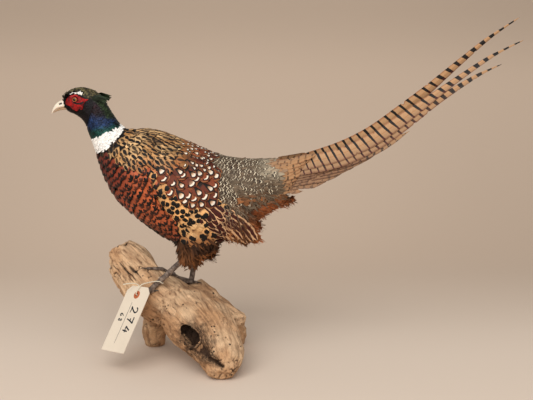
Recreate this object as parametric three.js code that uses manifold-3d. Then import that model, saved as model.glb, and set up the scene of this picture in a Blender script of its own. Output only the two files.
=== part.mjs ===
// A mounted cock ring-necked pheasant, life size, standing on its driftwood
// with a paper tag on a string round the near leg.
//
// Millimetres, +Z up. The bird faces -X and its left side is -Y. The floor is
// Z = 0. Places are measured from the middle of the body above the driftwood,
// and the last step moves the origin under the middle of the whole model.

import * as THREE from "three";
import { mergeVertices } from "three/addons/utils/BufferGeometryUtils.js";
import Module from "manifold-3d";

const wasm = await Module();
wasm.setup();

// ---------------------------------------------------------------- dimensions

const GAP = 0.3; // clearance between neighbouring solids
const LEFT = -1; // the bird's left side, -Y
const RIGHT = 1;

// Ribs of the feathered body from the bill's base to the tail's root. Each has
// its top point [x, z], its bottom point [x, z], its half width, and how much
// fuller it is above its middle than below.
const RIBS = {
  face: { top: [-193, 395], bottom: [-190, 377], half: 8, full: 0 },
  lores: { top: [-188, 402], bottom: [-185, 374], half: 11.5, full: 0.02 },
  brow: { top: [-180, 407.5], bottom: [-177, 371], half: 15, full: 0.04 },
  crown: { top: [-167, 411], bottom: [-169, 366], half: 17, full: 0.04 },
  hindcrown: { top: [-153, 408.5], bottom: [-163, 360], half: 17.5, full: 0.02 },
  nape: { top: [-141, 403], bottom: [-160, 354], half: 17.5, full: 0 },
  upper_neck: { top: [-131, 390], bottom: [-158, 347], half: 18.5, full: 0 },
  lower_neck: { top: [-120, 371], bottom: [-155, 339], half: 21, full: 0 },
  ring_top: { top: [-109, 355], bottom: [-151, 329], half: 24.5, full: 0 },
  ring_bottom: { top: [-98, 348], bottom: [-146, 313], half: 31, full: 0.02 },
  mantle: { top: [-86, 347], bottom: [-140, 292], half: 40, full: 0.05 },
  shoulder: { top: [-75, 348], bottom: [-131, 268], half: 50, full: 0.07 },
  breast: { top: [-62, 347], bottom: [-118, 245], half: 57, full: 0.07 },
  keel: { top: [-48, 344], bottom: [-98, 224], half: 61, full: 0.06 },
  belly: { top: [-32, 338], bottom: [-71, 202], half: 63, full: 0.06 },
  flank: { top: [-12, 330], bottom: [-41, 181], half: 63, full: 0.06 },
  loin: { top: [8, 321], bottom: [-8, 168], half: 60, full: 0.06 },
  vent: { top: [28, 312], bottom: [28, 174], half: 54, full: 0.08 },
  rump: { top: [50, 306], bottom: [61, 194], half: 46, full: 0.1 },
  hip: { top: [72, 303], bottom: [88, 210], half: 39, full: 0.1 },
  coverts: { top: [98, 302.5], bottom: [111, 223], half: 33, full: 0.08 },
  tail_root: { top: [127, 303], bottom: [127.5, 239], half: 27, full: 0.05 },
};

// The body's pieces, each from one rib to another, with its rings of facets.
const BODY_PIECES = {
  head: { from: "face", to: "upper_neck", along: 9, around: 20 },
  neck: { from: "upper_neck", to: "ring_top", along: 3, around: 20 },
  neck_ring: { from: "ring_top", to: "ring_bottom", along: 2, around: 20 },
  breast: { from: "ring_bottom", to: "keel", along: 6, around: 24 },
  trunk: { from: "keel", to: "vent", along: 5, around: 24 },
  rump: { from: "vent", to: "tail_root", along: 5, around: 24 },
};

const EYE = { x: -172.6, y: 12.2, z: 393.7, radius: 5 };
const EAR_TUFT = { root: [-146, 13.5, 396.5], middle: [-134, 15.5, 397.5], tip: [-124.5, 15, 394] };

// Bill: the ridge and the lower edge of each mandible, from base to tip.
const UPPER_BILL = {
  ridge: [[-190, 391.5], [-197, 391], [-204, 385.5], [-208.6, 378], [-210.3, 371]],
  edge: [[-186, 382], [-195, 380.8], [-201.5, 379.3], [-206.5, 375.5], [-209.6, 370.6]],
  half: [6.2, 5.6, 4.4, 2.6, 0.5],
};
const LOWER_BILL = {
  ridge: [[-186, 381.4], [-194, 380.2], [-200.5, 378.5], [-205, 375.6], [-207.6, 373.4]],
  edge: [[-186, 376.4], [-192, 375.6], [-198, 374.6], [-203, 373.4], [-207, 371.9]],
  half: [5.6, 4.8, 3.7, 2.2, 0.6],
};

// Folded wing: its lower edge, its middle line and its upper edge, on the
// side RIGHT.
const WING = {
  lower: [
    [-66, 56, 268], [-43, 63, 240], [-17, 60, 217], [12, 55, 202],
    [44, 49, 193], [70, 44, 188], [92, 41, 187],
  ],
  middle: [
    [-70, 63, 288], [-46, 71, 281], [-14, 74, 268], [18, 69, 250],
    [48, 60, 231], [72, 51, 211], [94, 42, 189],
  ],
  upper: [
    [-66, 53, 308], [-45, 49, 324], [-12, 46, 321], [22, 45, 306],
    [52, 46, 280], [76, 46, 240], [96, 42, 192],
  ],
  thickness: 9,
  tip_thickness: 1.6,
};

// Feathers under the body: the fluff behind the legs and the coverts under the
// tail, as middle lines and [across, deep] radii.
const VENT_FLUFF = {
  points: [[10, 0, 184], [14, 0, 171], [16, 0, 161], [18, 0, 153]],
  radii: [[32, 25], [25, 20], [16, 13], [6, 5]],
};
const UNDERTAIL = {
  points: [[84, 0, 229], [105, 0, 234], [124, 0, 239], [142, 0, 241.5]],
  radii: [[27, 13], [23, 10.5], [15, 7], [4.5, 2]],
};

// Legs: the thigh's feathers, the bare shank and the foot on the wood.
const LEGS = {
  left: {
    thigh: [[14, -34, 210], [3, -32, 189], [-7, -30, 171], [-13, -28, 155]],
    thigh_radii: [[22, 30], [19, 28], [14, 23], [8, 12]],
    heel: [-5, -26.5, 167],
    foot: [-69, -26, 104],
    press: [0.2, 0.9, -0.3],
    toes: {
      inner: { heading: [-0.95, -0.1, 0.05], length: 30 },
      middle: { heading: [-0.9, -0.2, -0.25], length: 38 },
      outer: { heading: [-0.75, -0.2, -0.55], length: 33 },
      hind: { heading: [0.75, 0.6, -0.1], length: 14 },
    },
  },
  right: {
    thigh: [[18, 34, 210], [12, 31, 190], [6, 28, 176], [2, 26, 163]],
    thigh_radii: [[22, 30], [18, 23], [13, 15], [7.5, 8.5]],
    heel: [3, 25.5, 174],
    foot: [-9, 24, 112],
    press: [0, 0.5, -0.85],
    toes: {
      inner: { heading: [-0.85, -0.5, 0], length: 38 },
      middle: { heading: [-1, -0.42, 0.14], length: 70 },
      outer: { heading: [-0.9, 0.25, 0.1], length: 40 },
      hind: { heading: [0.7, -0.6, 0], length: 14 },
    },
  },
};
const SHANK = { across: 3.3, deep: 4.3, stub: 8, ankle: 4.6 };
const TOE_RADII = [3.8, 3.3, 3.1, 2.7, 2.1];
const CLAW_LENGTH = { front: 13, hind: 9 };

// Tail: nine feathers a side, longest in the middle. Each side's tips [x, z].
const TAIL = {
  root: { x: 128.4, top: 292, bottom: 261 },
  root_slope: { top: 0.1, bottom: 0.36 }, // rise over run where a feather leaves the body
  tip_slope: { top: 0.78, bottom: 0.42 },
  slope: THREE.MathUtils.degToRad(60), // the roof's slope at each side
  half_ridge: 6.3, // from the midline to the centre of the first feather
  pitch: 1.35, // from one feather's layer down to the next
  width: 22,
  thickness: 0.9,
  edge_thickness: 0.5,
  // The long feathers' middle lines after the root, [x, z].
  long: {
    left: [
      [[200, 306], [262, 332], [322, 374], [371, 411], [437, 457], [482, 480]],
      [[200, 298], [262, 324], [318, 362], [366, 397], [417, 430], [450, 446]],
    ],
    right: [
      [[200, 311], [262, 340], [322, 386], [376, 433], [432, 481], [477, 512]],
      [[200, 302], [262, 328], [310, 360], [345, 384], [372, 402]],
    ],
  },
  // The other feathers' tips [x, z], from the longest to the shortest.
  tips: {
    left: [[318, 348], [298, 336], [284, 324], [261, 310], [236, 295], [210, 280], [162, 258]],
    right: [[324, 350], [302, 337], [286, 325], [263, 311], [238, 296], [208, 279], [164, 259]],
  },
};

// Driftwood: its limbs as centre points and [width, depth] radii.
const WOOD = {
  arm: {
    points: [[-119, 30, 162], [-111, 26, 149], [-95, 20, 124], [-70, 6, 97], [-40, 0, 80], [-10, -5, 68]],
    radii: [[12, 21], [19, 31], [27, 38], [36, 41], [40, 40], [32, 30]],
  },
  heart: {
    points: [
      [-48, 12, 76], [-24, 2, 72], [3, -38, 62], [28, -76, 46],
      [40, -101, 28], [44, -117, 15], [45, -127, 11],
    ],
    radii: [[32, 34], [44, 38], [54, 40], [46, 33], [37, 29], [25, 21], [14, 9]],
  },
  left_foot: {
    points: [[-52, 14, 72], [-64, 28, 42], [-68, 38, 20], [-68, 43, -3]],
    radii: [[30, 26], [22, 20], [20, 19], [15, 14]],
  },
  ridge: {
    points: [[-12, 28, 76], [4, 28, 88], [22, 27, 69], [55, 26, 44], [49, 55, -3]],
    radii: [[20, 18], [22, 22], [23, 20], [23, 21], [22, 22]],
  },
};
const HOLLOW = { centre: [6, -90, 52], radii: [30, 20, 12], tilt: THREE.MathUtils.degToRad(-38) };

// Tag: card, its reinforced hole, and the string.
const TAG = {
  width: 54,
  length: 105,
  thickness: 0.8,
  corner: 8.5,
  hole_from_top: 13.5,
  hole_radius: 3.4,
  top: [-80, -43, 118], // the middle of the upper edge
  down: [-37, -48.7, -83.7],
  across: [36.8, -39, 6.4],
};
const EYELET = { bore: 2.5, barrel: 3.05, flange: 6.4, thickness: 0.45 };
const STRING = {
  radius: 0.75,
  route: [
    [-53.8, -28.5, 128.3],
    [-51.4, -26.1, 124.6],
    [-48.8, -27.2, 121.1],
    [-47.7, -30.7, 119.8],
    [-49.0, -34.0, 120.8],
    [-52.0, -35.6, 123.6],
    [-58.6, -37.2, 124.4],
    [-67.4, -41.2, 124.0],
    [-76.6, -45.4, 122.4],
    [-81.9, -47.5, 118.4],
    [-84.5, -48.8, 113.9],
    [-86.1, -50.1, 109.7],
    [-84.9, -49.4, 106.9],
    [-82.4, -47.2, 106.9],
    [-81.3, -43.7, 109.7],
    [-81.7, -39.7, 113.9],
    [-84.0, -37.4, 118.9],
    [-90.0, -38.8, 121.8],
    [-98.0, -41.0, 122.2],
    [-106.0, -42.0, 121.0],
  ],
};

// ------------------------------------------------------------------ materials

function surface(color, roughness, metalness = 0) {
  return () => new THREE.MeshStandardMaterial({ color, roughness, metalness });
}

const FINISH = {
  crown: surface(0x5d5c40, 0.6),
  neck: surface(0x16344a, 0.4),
  white: surface(0xf2efe8, 0.75),
  breast: surface(0x8e3c22, 0.5),
  flank: surface(0xc08a4c, 0.7),
  rump: surface(0x857a62, 0.75),
  wing: surface(0x7c3a24, 0.65),
  fluff: surface(0x96663c, 0.9),
  tail: surface(0xbf9568, 0.6),
  wattle: surface(0xb3202a, 0.6),
  eye: surface(0xc98a22, 0.1),
  bill: surface(0xe4d3b0, 0.45),
  leg: surface(0x6a625c, 0.55),
  claw: surface(0x3c3733, 0.4),
  wood: surface(0xa67c55, 0.85),
  card: surface(0xf0e4cb, 0.85),
  eyelet: surface(0xa2573a, 0.8),
  string: surface(0xe9dcc2, 0.9),
};

// ------------------------------------------------------------ shared geometry

function signedVolume(geometry) {
  const position = geometry.attributes.position;
  const index = geometry.index;
  const [a, b, c] = [new THREE.Vector3(), new THREE.Vector3(), new THREE.Vector3()];
  let volume = 0;
  for (let i = 0; i < index.count; i += 3) {
    a.fromBufferAttribute(position, index.getX(i));
    b.fromBufferAttribute(position, index.getX(i + 1));
    c.fromBufferAttribute(position, index.getX(i + 2));
    volume += a.dot(b.cross(c)) / 6;
  }
  return volume;
}

// Merge shared vertices and turn the faces outwards.
function closed(geometry) {
  geometry.deleteAttribute("normal");
  geometry.deleteAttribute("uv");
  const welded = mergeVertices(geometry, 1e-4);
  if (signedVolume(welded) < 0) {
    const index = welded.index.array;
    for (let i = 0; i < index.length; i += 3) [index[i], index[i + 1]] = [index[i + 1], index[i]];
  }
  return welded;
}

function solidOf(geometry) {
  const welded = closed(geometry);
  return new wasm.Manifold(new wasm.Mesh({
    numProp: 3,
    vertProperties: Float32Array.from(welded.attributes.position.array),
    triVerts: Uint32Array.from(welded.index.array),
  }));
}

function geometryOf(solid) {
  const mesh = solid.getMesh();
  const geometry = new THREE.BufferGeometry();
  geometry.setAttribute("position", new THREE.BufferAttribute(mesh.vertProperties, 3));
  geometry.setIndex(new THREE.BufferAttribute(mesh.triVerts, 1));
  geometry.computeVertexNormals();
  return geometry;
}

// Move every vertex of a geometry by a function of its place.
function mapped(geometry, place) {
  const position = geometry.attributes.position;
  const point = new THREE.Vector3();
  for (let i = 0; i < position.count; i++) {
    point.fromBufferAttribute(position, i);
    place(point);
    position.setXYZ(i, point.x, point.y, point.z);
  }
  return geometry;
}

const vector = ([x, y, z]) => new THREE.Vector3(x, y, z);
const mirrored = (points, side) => points.map(([x, y, z]) => [x, y * side, z]);

// A smooth curve through points whose parameter runs evenly from point to point.
function smooth(points) {
  return new THREE.CatmullRomCurve3(points.map(vector), false, "centripetal");
}

// A limb: a round or oval tube along a smooth curve. Radii are [side, up]
// pairs, one for each point; swell(angle, t) roughens it.
function limb(points, radii, { around, along, grow = 0, swell = () => 1, up = [0, 0, 1] }) {
  const path = smooth(points);
  const size = smooth(radii.map(([side, lift]) => [side, lift, 0]));
  const upwards = vector(up);
  const geometry = new THREE.CylinderGeometry(1, 1, 1, around, along);
  return mapped(geometry, (point) => {
    const t = point.y + 0.5;
    const centre = path.getPoint(t);
    const tangent = path.getTangent(t);
    const side = new THREE.Vector3().crossVectors(upwards, tangent).normalize();
    const lift = new THREE.Vector3().crossVectors(tangent, side);
    const radius = size.getPoint(t);
    const wave = swell(Math.atan2(point.z, point.x), t);
    centre.addScaledVector(side, point.x * (radius.x * wave + grow));
    centre.addScaledVector(lift, point.z * (radius.y * wave + grow));
    point.copy(centre);
  });
}

const model = new THREE.Group();

function add(name, geometry, finish) {
  const mesh = new THREE.Mesh(geometry, finish());
  mesh.name = name;
  model.add(mesh);
  return mesh;
}

// --------------------------------------------------------------- body and head

const ribNames = Object.keys(RIBS);
const ribs = Object.values(RIBS);
const topCurve = smooth(ribs.map((rib) => [rib.top[0], 0, rib.top[1]]));
const bottomCurve = smooth(ribs.map((rib) => [rib.bottom[0], 0, rib.bottom[1]]));
const widthCurve = smooth(ribs.map((rib) => [rib.half, rib.full, 0]));
const stationOf = (name) => ribNames.indexOf(name) / (ribs.length - 1);
const CUT = 0.001; // half a cut between two body pieces, as a share of the body's length

// The feathered body between two stations of its ribs, grown by a clearance.
function bodyBetween(from, to, { along, around, grow = 0 }) {
  const geometry = new THREE.CylinderGeometry(1, 1, 1, around, along);
  return mapped(geometry, (point) => {
    const station = THREE.MathUtils.lerp(from, to, point.y + 0.5);
    const [side, up] = [point.x, point.z];
    const top = topCurve.getPoint(station);
    const bottom = bottomCurve.getPoint(station);
    const width = widthCurve.getPoint(station);
    const rise = top.clone().sub(bottom);
    const reach = rise.length() / 2 + grow;
    point.copy(top).add(bottom).multiplyScalar(0.5);
    point.addScaledVector(rise.normalize(), up * reach);
    point.y = side * (width.x + grow) * (1 + width.y * up);
  });
}

// The body's pieces between two of its ribs, grown by the clearance, to cut
// whatever lies on them.
function cutterOf(names) {
  const solids = names.map((name) => {
    const { from, to, along, around } = BODY_PIECES[name];
    return solidOf(bodyBetween(stationOf(from), stationOf(to), { along, around, grow: GAP }));
  });
  return solids.reduce((whole, next) => whole.add(next));
}

const bodyCutter = cutterOf(["neck_ring", "breast", "trunk", "rump"]);
const headCutter = cutterOf(["head", "neck"]);

function ball([x, y, z], radius, detail) {
  return new THREE.SphereGeometry(radius, detail, Math.round(detail * 0.7)).translate(x, y, z);
}

// A mandible: sections between its ridge and its edge, along their lengths.
function mandible({ ridge, edge, half }, grow = 0) {
  const ridgeCurve = smooth(ridge.map(([x, z]) => [x, 0, z]));
  const edgeCurve = smooth(edge.map(([x, z]) => [x, 0, z]));
  const halfCurve = smooth(half.map((width) => [width, 0, 0]));
  const geometry = new THREE.CylinderGeometry(1, 1, 1, 10, 5);
  return mapped(geometry, (point) => {
    const t = point.y + 0.5;
    const high = ridgeCurve.getPoint(t);
    const low = edgeCurve.getPoint(t);
    const rise = high.clone().sub(low);
    const reach = rise.length() / 2 + grow;
    const [side, up] = [point.x, point.z];
    point.copy(high).add(low).multiplyScalar(0.5).addScaledVector(rise.normalize(), up * reach);
    point.y = side * (halfCurve.getPoint(t).x + grow);
  });
}

// The red skin round the eye, as a pad over the side of the head.
function wattlePad(side) {
  const outline = new THREE.Shape();
  outline.moveTo(-190, 394);
  outline.bezierCurveTo(-186, 403, -172, 406, -163, 399);
  outline.bezierCurveTo(-160, 396, -157, 395, -153, 395);
  outline.bezierCurveTo(-158, 391, -161, 388, -162, 382);
  outline.bezierCurveTo(-166, 380, -170, 376, -175, 374.5);
  outline.bezierCurveTo(-181, 376, -186, 382, -190, 394);
  const slab = new THREE.ExtrudeGeometry(outline, { depth: 20, bevelEnabled: false, curveSegments: 2 });
  // The outline is drawn in x and z: turn it up, and set it beside the head.
  mapped(slab, (point) => point.set(point.x, side * (5 + point.z), point.y));
  const cover = bodyBetween(0, stationOf("upper_neck"), { along: 9, around: 20, grow: 2 });
  return solidOf(slab).intersect(solidOf(cover)).subtract(headCutter);
}

function earTuft(side) {
  const { root, middle, tip } = EAR_TUFT;
  const points = mirrored([root, middle, tip], side);
  return limb(points, [[3.6, 3.4], [2.8, 2.4], [0.5, 0.5]], { around: 7, along: 4 });
}

function eyeBall(side, grow = 0) {
  return ball([EYE.x, EYE.y * side, EYE.z], EYE.radius + grow, 9);
}

const upperBill = solidOf(mandible(UPPER_BILL));
const lowerBill = solidOf(mandible(LOWER_BILL)).subtract(solidOf(mandible(UPPER_BILL, GAP)));
const billCutter = solidOf(mandible(UPPER_BILL, GAP)).add(solidOf(mandible(LOWER_BILL, GAP)));

function headPiece(solid) {
  let head = solid.subtract(billCutter);
  for (const side of [LEFT, RIGHT]) {
    head = head.subtract(solidOf(eyeBall(side, GAP)));
  }
  return head;
}

for (const [name, { from, to, along, around }] of Object.entries(BODY_PIECES)) {
  const start = stationOf(from) + (from === "face" ? 0 : CUT);
  const end = stationOf(to) - (to === "tail_root" ? 0 : CUT);
  let solid = solidOf(bodyBetween(start, end, { along, around }));
  if (name === "head") solid = headPiece(solid);
  const finish = {
    head: FINISH.crown, neck: FINISH.neck, neck_ring: FINISH.white,
    breast: FINISH.breast, trunk: FINISH.flank, rump: FINISH.rump,
  }[name];
  add(name, geometryOf(solid), finish);
}

add("bill_upper", geometryOf(upperBill), FINISH.bill);
add("bill_lower", geometryOf(lowerBill), FINISH.bill);
for (const [word, side] of [["left", LEFT], ["right", RIGHT]]) {
  add(`eye_${word}`, closed(eyeBall(side)), FINISH.eye);
  const wattle = wattlePad(side).subtract(solidOf(eyeBall(side, GAP))).subtract(billCutter);
  add(`wattle_${word}`, geometryOf(wattle), FINISH.wattle);
  const tuft = solidOf(earTuft(side)).subtract(headCutter);
  add(`ear_tuft_${word}`, geometryOf(tuft), FINISH.neck);
}

// ----------------------------------------------------------------------- wings

// A folded wing: a lens of feathers whose outer face runs through the lower
// edge, the middle line and the upper edge, cut to the trunk that it lies on.
function wingPad(side) {
  const lower = smooth(mirrored(WING.lower, side));
  const middle = smooth(mirrored(WING.middle, side));
  const upper = smooth(mirrored(WING.upper, side));
  const geometry = new THREE.BoxGeometry(1, 1, 1, 10, 6, 1);
  mapped(geometry, (point) => {
    const t = point.x + 0.5;
    const across = point.y * 2; // -1 at the lower edge, 1 at the upper one
    const inner = point.z < 0;
    const [low, mid, high] = [lower.getPoint(t), middle.getPoint(t), upper.getPoint(t)];
    const lens = Math.sqrt(Math.max(0, 1 - 0.92 * across * across));
    const depth = THREE.MathUtils.lerp(WING.thickness, WING.tip_thickness, t ** 2);
    point.copy(mid).addScaledVector(low.sub(mid), (across * across - across) / 2);
    point.addScaledVector(high.sub(mid), (across * across + across) / 2);
    if (inner) point.y -= side * Math.max(depth * lens, GAP * 3);
  });
  return solidOf(geometry).subtract(bodyCutter);
}

// ------------------------------------------------------------------------ wood

// The driftwood's furrows run along each limb, winding slowly round it.
function furrows(count) {
  const depth = 0.028;
  return (angle, t) => 1 + depth * (Math.sin(count * angle + 5 * t) + Math.sin(3 * angle - 9 * t + 1));
}

function driftwood() {
  const limbs = Object.values(WOOD).map(({ points, radii }, i) =>
    solidOf(limb(points, radii, { around: 15, along: 8, swell: furrows(7 + 2 * i) })));
  let wood = limbs.reduce((whole, next) => whole.add(next));
  const hollow = new THREE.SphereGeometry(1, 14, 9).scale(...HOLLOW.radii);
  hollow.rotateY(-HOLLOW.tilt).translate(...HOLLOW.centre);
  wood = wood.subtract(solidOf(hollow));
  const floor = new THREE.BoxGeometry(600, 600, 200).translate(0, 0, -100);
  return wood.subtract(solidOf(floor));
}

const wood = driftwood();
const woodMesh = add("driftwood", geometryOf(wood), FINISH.wood);
woodMesh.geometry.computeBoundingSphere();
const woodCutter = [[0, 0, GAP], [0, -GAP, 0], [-GAP, 0, 0]]
  .map((shift) => wood.translate(...shift))
  .reduce((whole, next) => whole.add(next), wood);

// ------------------------------------------------------------------------ legs

// Lay a toe on the wood: points along its heading, pressed down to the wood.
function toePath(foot, press, { heading, length }, radii) {
  const direction = vector(heading).normalize();
  const down = vector(press).normalize();
  const ray = new THREE.Raycaster();
  const reach = 70;
  return radii.map((radius, i) => {
    const point = vector(foot).addScaledVector(direction, (length * i) / (radii.length - 1));
    ray.set(point.clone().addScaledVector(down, -reach), down);
    const hit = ray.intersectObject(woodMesh)[0];
    if (hit) point.copy(hit.point);
    return point.addScaledVector(down, -(radius + GAP)).toArray();
  });
}

const THIGH_FACETS = { around: 11, along: 4, up: [1, 0, 0] };
const toeScale = (toe) => (toe === "hind" ? 0.8 : 1);

// A foot's toes, the ball that they grow from and a stub of the shank.
function footSolid(paths, stub) {
  let foot = solidOf(ball(paths.middle[0], SHANK.ankle, 6));
  foot = foot.add(solidOf(limb(stub, stub.map(() => [SHANK.across, SHANK.deep]), { around: 9, along: 1 })));
  for (const [toe, path] of Object.entries(paths)) {
    const radii = TOE_RADII.map((radius) => [radius * toeScale(toe), radius * toeScale(toe)]);
    foot = foot.add(solidOf(limb(path, radii, { around: 6, along: 3 })));
  }
  return foot;
}

// A claw curves on from the end of its toe.
function clawSolid(path, size) {
  const [end, before] = [vector(path.at(-1)), vector(path.at(-2))];
  const outward = end.clone().sub(before).normalize();
  const along = (share, rise) => {
    const point = end.clone().addScaledVector(outward, GAP + size * share);
    return point.add(new THREE.Vector3(0, 0, size * rise)).toArray();
  };
  const points = [along(0, 0), along(0.55, 0.1), along(0.9, -0.12)];
  return limb(points, [[1.5, 1.7], [1.1, 1.3], [0.35, 0.35]], { around: 5, along: 3 });
}

function legPieces(word, leg) {
  const paths = {};
  for (const [toe, shape] of Object.entries(leg.toes)) {
    const radii = TOE_RADII.map((radius) => radius * toeScale(toe));
    paths[toe] = toePath(leg.foot, leg.press, shape, radii);
  }
  const ankle = paths.middle[0];
  const upShank = vector(leg.heel).sub(vector(ankle)).normalize();
  const above = (rise) => vector(ankle).addScaledVector(upShank, rise).toArray();
  const shankPoints = [above(SHANK.stub + GAP), leg.heel];
  const shankRadii = shankPoints.map(() => [SHANK.across, SHANK.deep]);
  const shankBody = (grow) => solidOf(limb(shankPoints, shankRadii, { around: 9, along: 2, grow }));

  add(`shank_${word}`, geometryOf(shankBody(0)), FINISH.leg);
  const foot = footSolid(paths, [ankle, above(SHANK.stub)]).subtract(woodCutter);
  add(`foot_${word}`, geometryOf(foot), FINISH.leg);
  for (const [toe, path] of Object.entries(paths)) {
    const size = toe === "hind" ? CLAW_LENGTH.hind : CLAW_LENGTH.front;
    const claw = solidOf(clawSolid(path, size)).subtract(woodCutter);
    add(`claw_${toe}_${word}`, geometryOf(claw), FINISH.claw);
  }
  const thighBody = (grow) => solidOf(limb(leg.thigh, leg.thigh_radii, { ...THIGH_FACETS, grow }));
  const thigh = thighBody(0).subtract(bodyCutter).subtract(shankBody(GAP));
  add(`thigh_${word}`, geometryOf(thigh), FINISH.fluff);
  return thighBody(GAP).add(shankBody(GAP));
}

const legCutter = legPieces("left", LEGS.left).add(legPieces("right", LEGS.right));

function underFeathers({ points, radii }, up) {
  return solidOf(limb(points, radii, { around: 12, along: 4, up })).subtract(bodyCutter);
}

add("vent_fluff", geometryOf(underFeathers(VENT_FLUFF, [1, 0, 0]).subtract(legCutter)), FINISH.fluff);
add("undertail_coverts", geometryOf(underFeathers(UNDERTAIL, [0, 0, 1])), FINISH.fluff);

for (const [word, side] of [["left", LEFT], ["right", RIGHT]]) {
  add(`wing_${word}`, geometryOf(wingPad(side).subtract(legCutter)), FINISH.wing);
}

// ------------------------------------------------------------------------ tail

const LONG_FEATHERS = TAIL.long.left.length;
const TAIL_FEATHERS = LONG_FEATHERS + TAIL.tips.left.length;

// The middle line of a tail feather in the plane y = 0, from root to tip.
function shaft(side, place) {
  const word = side === LEFT ? "left" : "right";
  const share = place / (TAIL_FEATHERS - 1);
  const mix = (pair) => THREE.MathUtils.lerp(pair.top, pair.bottom, share);
  const root = [TAIL.root.x, 0, mix(TAIL.root)];
  if (place < LONG_FEATHERS) {
    return smooth([root, ...TAIL.long[word][place].map(([x, z]) => [x, 0, z])]);
  }
  const [x, z] = TAIL.tips[word][place - LONG_FEATHERS];
  const run = (x - TAIL.root.x) / 3;
  return new THREE.CubicBezierCurve3(
    vector(root),
    new THREE.Vector3(root[0] + run, 0, root[2] + run * mix(TAIL.root_slope)),
    new THREE.Vector3(x - run, 0, z - run * mix(TAIL.tip_slope)),
    new THREE.Vector3(x, 0, z),
  );
}

// A feather's width at t along it, as a share of its full width.
function taper(t, long) {
  const shoulder = long ? 0.42 : 0.62; // where it starts to narrow
  const left = (1 - t) / (1 - shoulder);
  return t < shoulder ? 1 : Math.max(0.07, long ? 0.75 * left ** 0.9 + 0.25 * left ** 3 : left ** 0.7);
}

// The tail's feathers lie in layers on the two slopes of a roof whose ridge is
// the longest feather of that side.
function tailFeather(side, place) {
  const own = shaft(side, place);
  const ridge = shaft(side, 0);
  const long = place < LONG_FEATHERS;
  const geometry = new THREE.BoxGeometry(1, 1, 1, long ? 11 : 5, 2, 1);
  const across = new THREE.Vector3(0, -side * Math.cos(TAIL.slope), Math.sin(TAIL.slope));
  const normal = new THREE.Vector3(0, side * Math.sin(TAIL.slope), Math.cos(TAIL.slope));
  return mapped(geometry, (point) => {
    const t = point.x + 0.5;
    const centre = own.getPoint(t);
    const below = ridgeHeight(ridge, centre.x) - centre.z;
    const spread = (below * Math.cos(TAIL.slope) - TAIL.pitch * place) / Math.sin(TAIL.slope);
    centre.y = side * (TAIL.half_ridge + Math.max(0, spread));
    const thick = Math.abs(point.y) < 0.1 ? TAIL.thickness : TAIL.edge_thickness;
    const [breadth, lift] = [point.y * TAIL.width * taper(t, long), point.z * thick];
    point.copy(centre).addScaledVector(across, breadth).addScaledVector(normal, lift);
  });
}

// The height of a curve in the plane y = 0 above a given x.
function ridgeHeight(curve, x) {
  let [low, high] = [0, 1];
  for (let i = 0; i < 24; i++) {
    const middle = (low + high) / 2;
    if (curve.getPoint(middle).x < x) low = middle;
    else high = middle;
  }
  return curve.getPoint(low).z;
}

for (const [word, side] of [["left", LEFT], ["right", RIGHT]]) {
  for (let place = 0; place < TAIL_FEATHERS; place++) {
    add(`tail_feather_${word}_${place + 1}`, closed(tailFeather(side, place)), FINISH.tail);
  }
}

// -------------------------------------------------------------- tag and string

// The tag's own frame: x across it, y up its length, z out of its face.
function tagFrame() {
  const across = vector(TAG.across).normalize();
  const up = vector(TAG.down).negate();
  up.addScaledVector(across, -up.dot(across)).normalize();
  return new THREE.Matrix4().makeBasis(across, up, new THREE.Vector3().crossVectors(across, up));
}

function placeOnTag(mesh, [x, y, z]) {
  const frame = tagFrame();
  mesh.quaternion.setFromRotationMatrix(frame);
  mesh.position.copy(new THREE.Vector3(x, y, z).applyMatrix4(frame)).add(vector(TAG.top));
}

const half = TAG.width / 2;
const card = new THREE.Shape([
  new THREE.Vector2(-half, -TAG.length),
  new THREE.Vector2(half, -TAG.length),
  new THREE.Vector2(half, -TAG.corner),
  new THREE.Vector2(half - TAG.corner, 0),
  new THREE.Vector2(TAG.corner - half, 0),
  new THREE.Vector2(-half, -TAG.corner),
]);
card.holes.push(new THREE.Path().absarc(0, -TAG.hole_from_top, TAG.hole_radius, 0, 2 * Math.PI, true));
const cardBody = new THREE.ExtrudeGeometry(card, {
  depth: TAG.thickness,
  bevelEnabled: false,
  curveSegments: 10,
});
placeOnTag(add("tag", closed(cardBody), FINISH.card), [0, 0, -TAG.thickness / 2]);

const flangeIn = TAG.thickness / 2 + GAP;
const flangeOut = flangeIn + EYELET.thickness;
const eyelet = new THREE.LatheGeometry([
  new THREE.Vector2(EYELET.bore, -flangeOut),
  new THREE.Vector2(EYELET.flange, -flangeOut),
  new THREE.Vector2(EYELET.flange, -flangeIn),
  new THREE.Vector2(EYELET.barrel, -flangeIn),
  new THREE.Vector2(EYELET.barrel, flangeIn),
  new THREE.Vector2(EYELET.flange, flangeIn),
  new THREE.Vector2(EYELET.flange, flangeOut),
  new THREE.Vector2(EYELET.bore, flangeOut),
  new THREE.Vector2(EYELET.bore, -flangeOut),
], 10).rotateX(Math.PI / 2);
placeOnTag(add("tag_eyelet", closed(eyelet), FINISH.eyelet), [0, -TAG.hole_from_top, 0]);

const strand = new THREE.Shape(Array.from({ length: 8 }, (_, i) => {
  const angle = (i / 8) * 2 * Math.PI;
  return new THREE.Vector2(STRING.radius * Math.cos(angle), STRING.radius * Math.sin(angle));
}));
const extent = new THREE.Box3().setFromObject(model, true);
const stringBody = new THREE.ExtrudeGeometry(strand, {
  steps: 32,
  bevelEnabled: false,
  extrudePath: smooth(STRING.route),
});
add("tag_string", closed(stringBody), FINISH.string);

// The origin is on the floor, under the middle of all but the loose string.
const middle = extent.getCenter(new THREE.Vector3()).setZ(0);
for (const mesh of model.children) mesh.position.sub(middle);

export default model;
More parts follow.
